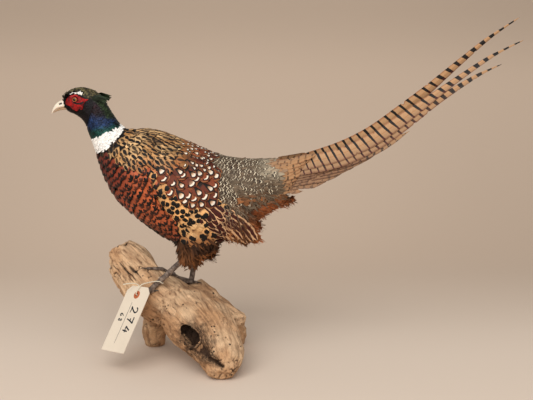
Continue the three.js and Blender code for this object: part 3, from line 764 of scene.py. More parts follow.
def tipped_feather(name, colours):
    """Buff, with one bold black spot on the tip."""
    finish = FeatherFinish(name, 0.6)
    across, along = finish.across, finish.along
    mark = finish.attribute("mark")
    base = finish.mix(finish.step(along, 0.55, 0.36), finish.ground, colours.chestnut)
    ragged = finish.ragged(1.6, 3)
    spot = blot(finish, across + ragged * 0.9, along + ragged * 0.16, 0, 0.9, 0.74, 0.235)
    spot = spot * finish.step(mark, 0.48, 0.52)
    streaks = finish.noise(finish.vector(across * 5, along * 1.2, finish.tone * 40), 2.0, 3.0)
    streaks = finish.step(streaks, 0.56, 0.68) * finish.step(mark, 0.52, 0.3)
    base = finish.mix(streaks * 0.7, base, colours.chestnut)
    return finish.barbed(finish.mix(spot, base, colours.black), 14.0, 0.55)


def teardrop_feather(name, colours):
    """Chestnut, with a cream drop ringed in black and a dark line inside the rim."""
    finish = FeatherFinish(name, 0.58)
    across, along, tone = finish.across, finish.along, finish.tone
    mark = finish.attribute("mark")
    side = finish.size(across)
    ragged = finish.ragged(2.0, 4)
    foot = along + across * across * 0.3 + ragged * 0.06
    wide = finish.math("MINIMUM", (along - 0.52) * 1.7 * (0.4 + mark * 0.7), 0.54) * (0.66 + tone * 0.46)
    bitten = blot(finish, across, along + ragged * 0.05, 0.1, 0.64, 0.5, 0.15) * finish.step(tone, 0.62, 0.66)
    drop = finish.step(side - wide, 0.03, -0.05) * finish.step(along - side * mark * 0.12, 0.6, 0.73)
    drop = drop * finish.step(foot, 0.88, 0.85) * (1 - bitten)
    white = finish.mix(finish.step(along, 0.68, 0.84), colours.quill_edge, colours.cream)
    ring = finish.step(side - wide, 0.3, 0.16) * finish.step(foot, 0.945, 0.915) * (1 - bitten)
    line = finish.step(foot, 0.955, 0.97) - finish.step(foot, 1.0, 1.015)
    pale = finish.mix(finish.step(foot, 1.01, 1.05) * 0.2, finish.ground, colours.flank)
    dark = finish.mix(finish.math("MAXIMUM", ring, line), pale, colours.black)
    base = finish.mix(finish.step(along, 0.5, 0.4), dark, colours.fluff_dark)
    return finish.barbed(finish.mix(drop, base, white), strength=0.36)


def ringed_feather(name, colours):
    """Olive grey, with narrow pale and dark curves inside the rim."""
    finish = FeatherFinish(name, 0.62)
    curve = finish.along + finish.across * finish.across * 0.26 + finish.ragged(1.8, 3) * 0.2
    bold = finish.attribute("mark") * (0.45 + finish.step(finish.tone, 0.2, 0.5) * 1.0)
    pale = finish.step(curve, 0.78, 0.81) - finish.step(curve, 0.85, 0.88)
    dark = finish.step(curve, 0.62, 0.67) - finish.step(curve, 0.76, 0.79)
    dark = dark + finish.step(curve, 0.89, 0.92) - finish.step(curve, 0.97, 1.0)
    light = finish.mix(finish.math("MINIMUM", pale * bold, 1.0), finish.ground, colours.rump_pale)
    ringed = finish.mix(finish.math("MINIMUM", dark * bold, 0.9), light, colours.fluff_dark)
    return finish.barbed(ringed, strength=0.45)


def edged_feather(name, colours):
    """Dark maroon, with a broad pale pink-buff edge and a dark line beside it."""
    finish = FeatherFinish(name, 0.58)
    side = finish.math("MAXIMUM", finish.size(finish.across) * 0.95, (finish.rim - 0.7) * 2.3)
    side = side + finish.ragged(1.6, 3) * 0.4
    web = finish.mix(finish.step(side, 0.4, 0.52) * 0.7, finish.ground, colours.black)
    return finish.barbed(finish.mix(finish.step(side, 0.58, 0.68), web, colours.quill_edge), strength=0.42)


def glossy_feather(name, _colours=None):
    """Dark, with a metallic sheen that is brightest near the rim."""
    finish = FeatherFinish(name, 0.42, Metallic=0.35)
    return finish.barbed(finish.shade(finish.ground, 0.55 + finish.step(finish.rim, 0.6, 0.98) * 0.9))


def plain_feather(name, _colours=None, roughness=0.66):
    """One soft colour, a little darker at the base."""
    finish = FeatherFinish(name, roughness)
    return finish.barbed(finish.shade(finish.ground, 0.62 + finish.step(finish.along, 0.2, 0.8) * 0.42))


def mottled_feather(name, colours):
    """Olive, with a dark middle and base."""
    finish = FeatherFinish(name, 0.55, Metallic=0.1)
    dark = blot(finish, finish.across, finish.along, 0, 0.8, 0.9, 0.32, 0.3)
    dark = dark * finish.step(finish.tone, 0.45, 0.55)
    base = finish.mix(finish.step(finish.along, 0.6, 0.35) * 0.8, finish.ground, colours.black)
    return finish.barbed(finish.mix(dark * 0.9, base, colours.black))


def skin_finish(name, colours):
    """The markings of the plumage again, softly, for where the skin shows between feathers."""
    finish = Finish(name, 0.75)
    ground = finish.attribute("ground", colour=True)
    mark = finish.attribute("mark")
    place = finish.place()
    spots = finish.step(finish.cells(place, 150), 0.42, 0.3) * mark
    down = finish.noise(place, 900, 3.0)
    finish.bump(down, 0.0006, 0.5)
    shaded = finish.shade(ground, 0.4 + down * 0.35)
    return finish.done(finish.mix(spots * 0.8, shaded, colours.black))


# -------------------------------------------------------------- plumage, by part


def blend(first, second, share):
    """Two colours mixed by a share for each place."""
    share = np.clip(share, 0, 1)[:, None]
    return np.asarray(first)[None] * (1 - share) + np.asarray(second)[None] * share


def towards(values, target, share):
    """Colours or directions moved towards one target by a share for each place."""
    share = np.reshape(share, (-1, 1))
    return values * (1 - share) + np.asarray(target)[None] * share


def mound(x, z, middle_x, middle_z, wide, high, power=1):
    """1 in the middle of an ellipse, falling away to 0 outside it, steeper with a higher power."""
    return np.exp(-(((x - middle_x) / wide) ** 2 + ((z - middle_z) / high) ** 2) ** power)


def head_part(places, stations):
    """Which feathered part of the head and neck each place is on."""
    x, z = places[:, 0], places[:, 2]
    level = collar_level(x, z)
    part = np.full(len(places), "neck", dtype=object)
    part[(stations < 5.2) & (x < -146)] = "face"
    part[inside(CROWN, x, z)] = "crown"
    part[inside(BROW, x, z)] = "brow"
    part[(level > 0) & (level < 1) & (stations > 6.5)] = "collar"
    part[(level >= 1) & (stations > 6.5)] = "below"
    return part


def body_part(places, stations):
    """Which part of the plumage each place is on."""
    x, z = places[:, 0], places[:, 2]
    part = np.full(len(places), "under", dtype=object)
    part[inside(BREAST, x, z)] = "breast"
    part[inside(FLANK, x, z)] = "flank"
    part[inside(RUMP, x, z)] = "rump"
    part[inside(WING, x, z)] = "covert"
    part[inside(BACK, x, z)] = "scapular"
    part[inside(BACK, x, z) & (z > 299 - 0.12 * x)] = "back"
    part[inside(MANTLE, x, z)] = "mantle"
    upper = head_part(places, stations)
    front = (stations < 9.9) & (upper != "below")
    part[front] = upper[front]
    return part


def plumage_ground(part, places, stations, colours):
    """Each place's ground colour, and how strong its dark marks are."""
    x, y, z = places.T
    mottle = 0.5 + 0.9 * wobble(places, 0.045, 1)
    fine = 0.5 + 0.9 * wobble(places, 0.16, 2)
    level = collar_level(x, z)
    under_collar = smoothstep(level + 0.12 * wobble(places, 0.3, 11), 1.5, 1.22) * (stations < 10.6)
    ground = np.zeros((len(places), 3))
    mark = np.zeros(len(places))

    def fill(name, values, strength):
        """Put one part's colours and marks in place."""
        here = part == name
        ground[here] = values[here]
        mark[here] = np.broadcast_to(strength, len(places))[here]

    gold = blend(colours.gold, colours.gold_pale, mottle)
    low = smoothstep(z, 322, 298) * smoothstep(x, -110, -60)
    gold = towards(gold, colours.copper_bright, 0.6 * low)
    gap = mound(x, z + 0.5 * (x + 58), -58, 338, 13, 4.6, 2)
    dark = np.clip(under_collar * 0.9 + gap * 0.95, 0, 1)
    gold = gold * (0.62 + 0.52 * fine[:, None])
    fill("mantle", towards(gold, colours.black, dark), 1.0)

    copper = blend(colours.copper, colours.copper_bright, 0.3 * mottle + 0.7 * smoothstep(x, -120, -45))
    maroon = np.clip(smoothstep(x, -105, -140) + 0.5 * smoothstep(z, 222, 195), 0, 0.85)
    copper = towards(copper, colours.maroon, maroon * (0.6 + 0.4 * fine)) * (0.82 + 0.5 * fine[:, None])
    keel = smoothstep(np.abs(y), 36, 12) * smoothstep(x, -95, -60) + under_collar * 0.6
    fill("breast", towards(copper, colours.black, np.clip(keel, 0, 0.93)), 1.0)

    pale_patch = mound(x, z, 2, 212, 14, 16) * 0.9
    flank = blend(colours.flank, colours.gold_pale, pale_patch + 0.3 * mottle - 0.1)
    rear = smoothstep(z, 214, 186) * 0.9 + smoothstep(x, -20, -45) * 0.35
    flank = towards(flank, colours.fluff_rufous, np.clip(rear, 0, 0.9))
    unmarked = mound(x, z, 4, 211, 11, 13, 2) + 0.95 * smoothstep(z, 200, 187) * smoothstep(x, -20, -5)
    fill("flank", flank * (0.9 + 0.38 * fine[:, None]), np.clip(1.1 - unmarked, 0, 1))

    upper = smoothstep(z, 300, 322)
    back = blend(colours.chestnut, colours.copper_bright, 0.25 * mottle + 0.25 * upper)
    back = towards(back, colours.gold, smoothstep(x, 6, -16) * 0.55)
    fill("back", back * (0.7 + 0.5 * fine[:, None]), np.clip(0.15 + 0.75 * fine - 0.25 * upper, 0.1, 0.75))
    scapular = blend(colours.chestnut, colours.copper_bright, 0.1 + 0.3 * mottle)
    fill("scapular", scapular * (0.75 + 0.5 * fine[:, None]), np.clip(0.6 + 0.6 * fine, 0.4, 1))
    covert = blend(colours.quill_dark, colours.chestnut, 0.7 * fine)
    fill("covert", covert * (0.8 + 0.6 * mottle[:, None]), 1.0)

    low = smoothstep(z + 8 * wobble(places, 0.05, 12), 262, 236) * 0.7
    rump = blend(colours.rump_grey, colours.rump_olive, mottle) * (0.7 + 0.55 * fine[:, None])
    rump = towards(rump, np.array(colours.fluff_rufous) * 0.6, low)
    smoky = smoothstep(x, 84, 112) * smoothstep(z, 270, 290) * 0.5
    rump = towards(rump, np.array(colours.rump_pale) * 0.7, smoky)
    unmarked = 0.8 * low + 0.5 * smoky + 0.4 * smoothstep(mottle, 0.6, 0.3)
    fill("rump", rump, np.clip(0.95 - unmarked, 0.05, 1))

    tan = 0.5 * smoothstep(z, 172, 158) + 0.35 * smoothstep(x, 2, -24)
    shade = blend(colours.fluff_dark, colours.fluff_rufous, 0.02 + 0.75 * fine + tan)
    shade = np.where((x > 84)[:, None], blend(colours.undertail, colours.fluff_rufous, mottle), shade)
    fill("under", shade, 0.1)

    ribs = np.asarray(RIBS, dtype=float)
    across = [np.interp(stations, np.arange(len(ribs)), ribs[:, i]) for i in range(4)]
    spread = (across[2] - across[0]) ** 2 + (across[3] - across[1]) ** 2
    below_nape = (x - across[0]) * (across[2] - across[0]) + (z - across[1]) * (across[3] - across[1])
    below_nape = below_nape / spread
    drift = 3 * wobble(places, 0.08, 3)
    blue = smoothstep(z + drift + 0.12 * (x + 140), 376, 364)
    green = smoothstep(z + drift - 0.28 * (x + 138), 358, 348)
    neck = blend(colours.neck_purple, colours.neck_blue, blue)
    neck = towards(neck, colours.neck_green, green)
    olive = smoothstep(below_nape, 0.3, 0.16) * smoothstep(z, 362, 370)
    neck = towards(neck, colours.nape_green, olive)
    brown = np.exp(-((x + 147) ** 2 + (z - 380) ** 2) / 40) * 0.7
    neck = towards(neck, colours.maroon, brown)
    edges = smoothstep(np.abs(below_nape - 0.5), 0.3, 0.5) * 0.45
    fill("neck", neck * (0.35 + 0.85 * fine - edges)[:, None].clip(0.15), 0.2)
    fill("face", blend(colours.black, colours.neck_purple, 0.6 * fine), 0.0)
    crown = blend(colours.crown, colours.nape_green, 0.3 * mottle + 0.9 * smoothstep(x, -146, -134))
    fill("crown", crown * (0.55 + 0.8 * fine[:, None]), 0.5)
    fill("brow", blend(colours.collar, colours.cream, fine), 0.0)
    fill("collar", blend(colours.collar, colours.cream, 0.25 * fine), 0.0)
    fill("below", blend(colours.maroon, colours.black, fine), 1.0)
    return ground, mark


# How one part's feathers are laid: from which rib to which, in what steps along and round
# the body, how long, wide, sunk in and lifted they are, how many degrees they droop, in
# what shape, finish and slot, and how unevenly.
Coat = collections.namedtuple(
    "Coat", "first last row_step step length width depth lift droop vane finish slot jitter", defaults=(0.16,)
)
COAT_SWEEP = 0.08

# How far along a feather the middle of the part that shows is.
SHOWN_AT = 0.72

# The feathers' shapes: small and round, broad and blunt, like a scale, and loose and pointed.
ROUND = Vane(7, 5, widest=0.62, root=0.35)
BLUNT = Vane(8, 7, widest=0.7, root=0.4, pointed=0.85)
SCALE = Vane(5, 5, widest=0.6, root=0.45)
HAIRY = Vane(6, 5, widest=0.5, root=0.4, pointed=1.5)

COATS = {
    "face": Coat(0.0, 6.0, 1.7, 1.5, 3.6, 2.3, 0.9, 0.25, 0, SCALE, glossy_feather, "crown"),
    "crown": Coat(0.2, 6.2, 2.3, 2.1, 5.6, 3.2, 1.2, 0.3, 0, SCALE, mottled_feather, "crown"),
    "brow": Coat(1.0, 5.0, 1.3, 1.2, 3.2, 1.5, 0.6, 0.35, 0, SCALE, plain_feather, "crown"),
    "neck": Coat(3.6, 9.2, 3.0, 2.9, 8.0, 5.0, 1.8, 0.4, 0, SCALE, glossy_feather, "neck"),
    "collar": Coat(6.6, 10.2, 2.5, 2.5, 6.8, 4.6, 1.8, 0.7, 0, ROUND, plain_feather, "ring"),
    "mantle": Coat(8.2, 15.6, 9.8, 6.6, 25, 11.0, 3.0, 0.9, 19, BLUNT, spotted_feather, "breast", 0.22),
    "breast": Coat(8.4, 16.2, 7.6, 8.0, 19, 13.0, 3.0, 1.0, 10, BLUNT, scalloped_feather, "breast", 0.24),
    "flank": Coat(11.0, 18.6, 8.2, 9.0, 23, 13.5, 3.2, 1.2, 30, BLUNT, tipped_feather, "flank", 0.3),
    "back": Coat(12.5, 18.6, 9.2, 8.8, 24, 13.0, 3.4, 1.2, 22, BLUNT, teardrop_feather, "flank", 0.26),
    "covert": Coat(13.5, 20.0, 9.0, 6.6, 34, 10.5, 3.4, 1.7, 44, BLUNT, edged_feather, "wing", 0.24),
    "scapular": Coat(12.5, 18.6, 13.4, 12.4, 32, 18.5, 3.8, 1.5, 36, BLUNT, teardrop_feather, "flank", 0.2),
    "rump": Coat(15.8, 20.6, 5.4, 5.0, 18, 10.0, 3.2, 1.0, 14, HAIRY, ringed_feather, "rump", 0.34),
}


def lay_coat(part, colours, sizes, seed):
    """One part's feathers, shingled from the front to the back."""
    coat = COATS[part]
    rng = np.random.default_rng(seed)
    bird = body()
    stations, turns = bird.lattice(coat.first, coat.last, coat.row_step, coat.step, rng, coat.jitter)
    last = len(RIBS) - 1
    ahead = bird.at(np.minimum(stations + 0.15, last), turns)
    lies = unit(ahead - bird.at(np.maximum(stations - 0.15, 0), turns))
    roots = bird.at(stations, turns)
    _, normals = bird.surface.nearest(roots)
    down = np.array([0, 0, -1.0]) - normals * -normals[:, 2:]
    droop = math.radians(coat.droop)
    lies = lies * math.cos(droop) + down * math.sin(droop)
    shown = roots + unit(lies) * coat.length * SHOWN_AT
    edge = np.stack([wobble(roots, 0.3, 5), 0 * stations, wobble(roots, 0.3, 6)], axis=1)
    reach = np.minimum(stations + 0.3, last)
    keep = body_part(shown + edge * min(3.0, coat.width * 0.3), reach) == part
    if part in ("face", "crown", "brow"):
        keep &= ~inside(WATTLE, shown[:, 0], shown[:, 2])
        keep &= ~inside(WATTLE, roots[:, 0] * 0.6 + shown[:, 0] * 0.4, roots[:, 2] * 0.6 + shown[:, 2] * 0.4)
    stations, turns, roots, lies, shown = (a[keep] for a in (stations, turns, roots, lies, shown))
    count = len(roots)
    lies = unit(lies + rng.normal(0, 0.07, (count, 3)))
    lengths = coat.length * sizes.feather_length * rng.uniform(0.88, 1.15, count)
    widths = coat.width * sizes.feather_width * rng.uniform(0.88, 1.12, count)
    lift = coat.lift * sizes.feather_lift * rng.uniform(0.7, 1.3, count)
    if part == "face":
        lift = lift + 2.4 * smoothstep(roots[:, 0], -183, -189) * smoothstep(roots[:, 2], 388, 394)
    points = lay_vanes(coat.vane, bird.surface, roots, lies, lengths, widths, rng, depth=coat.depth,
                       lift=lift, sweep=COAT_SWEEP)
    names = np.full(count, part, dtype=object)
    ground, mark = plumage_ground(names, shown, stations, colours)
    tones = rng.random(count)
    mark = np.clip(mark * rng.uniform(0.85, 1.1, count), 0, 1)
    material = coat.finish(part + "_feather", colours)
    piece = coat_piece(
        part + "_feathers", coat.vane, points, stations, turns, ground, tones, material, coat.slot
    )
    marks = piece.data.attributes.new("mark", "FLOAT", "POINT")
    marks.data.foreach_set("value", np.repeat(mark, coat.vane.count).astype(np.float32))
    return piece


def make_skin(colours):
    """One skin in place of the solid flesh, inside it by the depth of the coat."""
    bird = body()
    stations, _ = bird.station_of(bird.points)
    depth = np.interp(stations, [0, 2, 5, 8, 10, 21], [0.5, 0.7, 1.1, 1.6, 2.6, 2.6])
    depth = depth + 2.6 * smoothstep(bird.points[:, 2], 176, 160)
    points = bird.points - bird.normals * depth[:, None]
    part = body_part(bird.points, stations)
    low = bird.points[:, 2] < 186
    part[low & (stations > 10)] = "under"
    ground, mark = plumage_ground(part, bird.points, stations, colours)
    skin = mesh_piece("skin", points, [bird.faces], skin_finish("feathered_skin", colours), "breast",
                      None, {"ground": ground, "mark": mark})
    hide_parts(*BODY, *SOFT_PARTS)
    return skin


# ----------------------------------------------------------- long feathers, tufts


def long_vane(centres, sides, ups, left, right, thickness=0.3, camber=0.06, shaft=0.5, columns=9):
    """A long feather round its shaft: its points and faces, closed at both ends."""
    across = np.linspace(-1, 1, columns)
    half = np.where(across[None] < 0, left[:, None], right[:, None])
    x = across[None] * half
    rise = camber * half * (1 - across[None] ** 2)
    fade = np.minimum(1, (left + right)[:, None] / 6)
    ridge = shaft * fade * np.exp(-(x / 0.7) ** 2)
    top = centres[:, None] + sides[:, None] * x[..., None] + ups[:, None] * (rise + ridge)[..., None]
    under_across = np.array([0.55, 0.0, -0.55])
    half = np.where(under_across[None] < 0, left[:, None], right[:, None])
    x = under_across[None] * half
    drop = (
        camber * half * (1 - under_across[None] ** 2) - thickness - shaft * 0.6 * fade * (under_across == 0)
    )
    under = centres[:, None] + sides[:, None] * x[..., None] + ups[:, None] * drop[..., None]
    rings = np.concatenate([top, under], axis=1)
    points, quads, caps = rings_mesh(rings)
    u = np.tile((np.concatenate([across, under_across]) + 1) / 2, (len(rings), 1))
    return points, quads, caps, u


def frames_along(centres, up_hint):
    """Directions across a line and up from it."""
    along = unit(np.gradient(centres, axis=0))
    sides = unit(np.cross(along, up_hint))
    return sides, np.cross(sides, along)


def nicked(count, rng, amount=0.06, nicks=5, deep=0.5):
    """The raggedness of a web's edge: a fine unevenness and a few open nicks."""
    edge = 1 - np.abs(rng.normal(0, amount, count))
    for place in rng.integers(count // 8, count - 2, nicks):
        edge[place:place + rng.integers(1, 3)] *= rng.uniform(deep, 0.9)
    return edge


def tapered(v, root, full, tip, least=0.01):
    """How wide a feather is along it: from its root's share up to full width, then to a round tip."""
    grown = root + (1 - root) * smoothstep(v, 0, full)
    return grown * np.sqrt(np.clip((1 - v) / tip, least, 1))


def joined(parts):
    """Several (points, quads, caps, extras) shapes joined into one set of arrays."""
    points, quads, caps, extras, start = [], [], [], [], 0
    for part_points, part_quads, part_caps, extra in parts:
        points.append(part_points)
        quads.append(part_quads + start)
        caps.append(part_caps + start)
        extras.append(extra)
        start += len(part_points)
    return np.vstack(points), np.vstack(quads), np.vstack(caps), np.concatenate(extras)


def plume_piece(name, plumes, tones, material, slot, **attributes):
    """Long feathers as one piece: each a vane, and how far along the feather its rings lie."""
    parts = []
    for (points, quads, caps, u), reach in plumes:
        uv = np.stack([u.ravel(), np.repeat(reach, u.shape[1])], axis=1)
        parts.append((points, quads, caps, uv))
    points, quads, caps, uv = joined(parts)
    values = {"tone": np.repeat(tones, [len(part[0]) for part in parts])}
    for key, value in attributes.items():
        values[key] = value if np.ndim(value) else np.full(len(points), float(value))
    return mesh_piece(
        name, points, [quads, caps], material, slot, {"feather": uv}, values, sharp=FEATHER_CREASE
    )


def cad_rings(node):
    """A tail feather's sections, from its root to its tip: centres, edges and half widths."""
    points, _ = cad_arrays([node])
    points = np.unique(np.round(points, 3), axis=0)
    order = np.argsort(points[:, 0])
    points = points[order]
    cuts = np.flatnonzero(np.diff(points[:, 0]) > 0.05) + 1
    centres, sides, halves = [], [], []
    for ring in np.split(points, cuts):
        if len(ring) < 4:
            continue
        gaps = np.linalg.norm(ring[:, None] - ring[None], axis=2)
        i, j = np.unravel_index(np.argmax(gaps), gaps.shape)
        low, high = (ring[i], ring[j]) if ring[i][2] < ring[j][2] else (ring[j], ring[i])
        centres.append((low + high) / 2)
        sides.append(unit(high - low))
        halves.append(gaps[i, j] / 2)
    return np.array(centres), np.array(sides), np.array(halves)


TAIL_PAIRS = 9

# How far apart the tail's bars are at its root, in decimetres, and how fast that grows.
BAR_SPACING = 0.096
BAR_GROWTH = 0.018


def tail_finish(name, colours):
    """Buff with narrow black bars, an orange shaft and a pinkish fringe low down, and painted shade: each web
    darker towards its lower edge, with a painted shadow line along the lower edge of the outer feathers.
    """
    finish = FeatherFinish(name, 0.5)
    across, reach, tone = finish.across, finish.along, finish.tone
    side = finish.size(across)
    left = finish.attribute("left")
    drift = finish.noise(finish.vector(reach * 2, tone * 30), 3.0, 2.0)
    local = finish.noise(finish.vector(reach * 9, across * 1.5, tone * 50), 2.0, 3.0)
    height = across * finish.attribute("up")
    run = reach + drift * 0.04 + local * 0.012 + height * finish.step(left, 0.2, 1.6) * 0.024 + tone * 0.3
    phase = finish.math("LOGARITHM", run * (BAR_GROWTH / BAR_SPACING) + 1, math.e) / BAR_GROWTH
    wave = finish.size(finish.math("FRACT", phase) - 0.5) * 2
    wide = 0.27 + finish.step(left, 1.9, 0.3) * 0.2 + height * 0.06
    bar = finish.step(wave - wide, 0.04, -0.04)
    faded = finish.step(height, 0.0, -0.95) * finish.step(left, 0.5, 1.6)
    fringe = finish.step(side, 0.62, 0.95) * finish.step(reach, 0.1, 0.5) * finish.step(left, 0.3, 0.8)
    streak = finish.streaked(0.7)
    vermicule = finish.step(finish.noise(finish.vector(reach * 60, across * 5, tone), 1.0, 2.0), 0.6, 0.68)
    outer = finish.attribute("outer")
    buff = finish.mix(outer * 0.45, colours.tail_buff, colours.tail_fringe)
    web = finish.mix(fringe * 0.8, buff, colours.tail_fringe)
    web = finish.mix(vermicule * 0.25 * side, web, colours.tail_bar)
    # Painted shade: each web is lighter towards its upper edge and darker towards its lower edge.
    web = finish.shade(web, (0.6 + streak * 0.56) * (0.94 + height * 0.24))
    # Painted shadow: a dark line along the lower edge of the outer feathers.
    lower_edge_shadow = finish.step(height, -0.88, -0.98) * finish.step(outer, 0.1, 0.3) * 0.5
    web = finish.mix(lower_edge_shadow, web, colours.quill_dark)
    ink = finish.mix(faded, colours.tail_bar, colours.chestnut)
    broken = finish.step(outer, 0.1, 0.25) * finish.step(local, 0.52, 0.44)
    bar = bar * (0.99 - finish.step(outer, 0.1, 0.5) * 0.5) * (1 - broken)
    barred = finish.mix(bar, web, ink)
    shaft = finish.step(side, 0.075, 0.04)
    return finish.done(finish.mix(shaft * 0.5 * (1 - bar), barred, colours.tail_shaft))


def make_tail(colours):
    """The eighteen tail feathers, each in its solid's place."""
    rng = np.random.default_rng(SEEDS["tail"])
    material = tail_finish("tail_feather", colours)
    for side, sign in SIDES:
        for number in range(1, TAIL_PAIRS + 1):
            node = f"tail_feather_{side}_{number}"
            knots, edges, halves = cad_rings(node)
            length = lengths_along(knots)[-1]
            count = int(max(48, length / 2.0))
            centres = spline(knots, count)
            half = spline(halves[:, None], count)[:, 0]
            far = lengths_along(centres)
            along = unit(np.gradient(centres, axis=0))
            sides = spline(edges, count)
            if side == "right" and number < 3:
                sides[:, 1] *= 1 - 0.9 * smoothstep(centres[:, 0], 140, 200)
            sides = unit(sides)
            sides = unit(sides - along * np.sum(sides * along, axis=1, keepdims=True)) * -sign
            ups = unit(np.cross(sides, along))
            tip = np.clip((far[-1] - far) / (9.0 + 3.2 * (number > 2) * number), 0.01, 1) ** 0.6
            left = half * tip * nicked(count, rng, 0.02, nicks=int(length / 110) + 1, deep=0.7)
            right = half * tip * nicked(count, rng, 0.02, nicks=int(length / 110) + 1, deep=0.7)
            vane = long_vane(centres, sides, ups, left, right, camber=0.05)
            piece = plume_piece(
                f"tail_vane_{side}_{number}", [(vane, far / 100)], [rng.random()], material, "tail",
                left=np.repeat((far[-1] - far) / 100, vane[3].shape[1]),
                outer=(number - 1) / (TAIL_PAIRS - 1), up=-sign,
            )
            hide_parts(node)


def quill_finish(name, colours):
    """Dark maroon brown, mottled, with a pale pink-buff edge."""
    finish = FeatherFinish(name, 0.55)
    across, reach, tone = finish.across, finish.along, finish.tone
    side = finish.size(across)
    local = finish.noise(finish.vector(reach * 16, across * 2.5, tone * 50), 1.6, 3.0)
    edge = finish.step(side + (local - 0.5) * 0.4, 0.4, 0.52)
    bars = finish.step(finish.math("SINE", reach * 75 + side * 4 + local * 7), 0.3, 0.8)
    bars = bars * finish.step(side, 0.1, 0.4)
    dark = finish.mix(bars * 0.15, colours.quill_dark, colours.quill_edge)
    streak = finish.streaked(1.0)
    web = finish.mix(edge * 0.9, dark, colours.quill_edge)
    shaft = finish.step(side, 0.09, 0.05)
    return finish.done(finish.mix(shaft * 0.7, finish.shade(web, 0.7 + streak * 0.6), colours.chestnut))


# The folded wing's rearmost quill, seen from the side, and the step from each quill to the next.
QUILL = ((40, 236), (52, 230), (68, 219), (82, 205), (93, 186))
QUILL_STEP = np.array([-3.4, -3.6])
QUILL_COUNT = 8
QUILL_POINTS = 30


def make_quills(side, sign, colours):
    """One folded wing's flight feathers, the rearmost on top."""
    rng = np.random.default_rng(SEEDS["quills"] + sign)
    bird = body()
    plumes, tones = [], []
    for number in range(QUILL_COUNT):
        back = number / (QUILL_COUNT - 1)
        line = np.array(QUILL, dtype=float)
        line = line[0] + (line - line[0]) * [1 - 0.2 * back, 1 - 0.5 * back]
        line = line + QUILL_STEP * number * [1.0, 1 - 0.1 * back]
        line = line[0] + (line - line[0]) * rng.uniform(0.88, 1.06) + rng.normal(0, 1.0, 2)
        line[2:, 0] += np.linspace(0.4, 1, 3) * rng.normal(0, 2.4)
        flat = np.stack([line[:, 0], np.full(len(line), sign * 80.0), line[:, 1]], axis=1)
        flat = spline(flat, QUILL_POINTS)
        inwards = np.tile([0, -sign * 1.0, 0], (QUILL_POINTS, 1))
        hits, normals = bird.surface.first_hit(flat + [0, sign * 80, 0], inwards)
        good = ~np.isnan(hits[:, 0]) & (hits[:, 1] * sign > 18)
        for axis in range(3):
            for values in (hits, normals):
                known = np.flatnonzero(good)
                values[:, axis] = np.interp(np.arange(QUILL_POINTS), known, values[good, axis])
        hits[:, 0], hits[:, 2] = flat[:, 0], flat[:, 2]
        ups = unit(normals + [0, sign * 0.6, 0])
        rise = np.linspace(-2.5, 1.4, QUILL_POINTS) + (QUILL_COUNT - number) * 0.28
        centres = hits + ups * rise[:, None]
        kernel = np.ones(5) / 5
        for axis in range(3):
            padded = np.pad(centres[:, axis], 2, mode="edge")
            centres[:, axis] = np.convolve(padded, kernel, mode="valid")
        far = lengths_along(centres)
        sides, ups = frames_along(centres, ups)
        v = far / far[-1]
        half = (7.0 - 1.8 * back) * tapered(v, 0.5, 0.3, 0.16)
        left = half * (0.75 if sign < 0 else 1.0) * nicked(QUILL_POINTS, rng, 0.04, 2)
        right = half * (1.0 if sign < 0 else 0.75) * nicked(QUILL_POINTS, rng, 0.04, 2)
        vane = long_vane(centres, sides, ups, left, right, camber=0.12, shaft=0.35)
        plumes.append((vane, far / 100))
        tones.append(rng.random())
    return plume_piece(f"quills_{side}", plumes, tones, quill_finish(f"quill_{side}", colours), "wing")


# The shapes of down: one thin strand, and a lock of several.
STRAND = Vane(6, 3, widest=0.35, root=0.6, pointed=1.6)
LOCK = Vane(6, 3, widest=0.5, root=0.5, pointed=1.3)


def scattered(points, spacing, rng):
    """A random choice of points that all lie at least a spacing apart."""
    taken = {}
    chosen = []
    for i in rng.permutation(len(points)):
        point = points[i]
        cell = tuple((point // spacing).astype(int))
        near = (
            taken.get((cell[0] + a, cell[1] + b, cell[2] + c))
            for a in (-1, 0, 1) for b in (-1, 0, 1) for c in (-1, 0, 1)
        )
        if all(other is None or np.sum((points[other] - point) ** 2) > spacing**2 for other in near):
            taken[cell] = i
            chosen.append(i)
    return np.array(chosen)


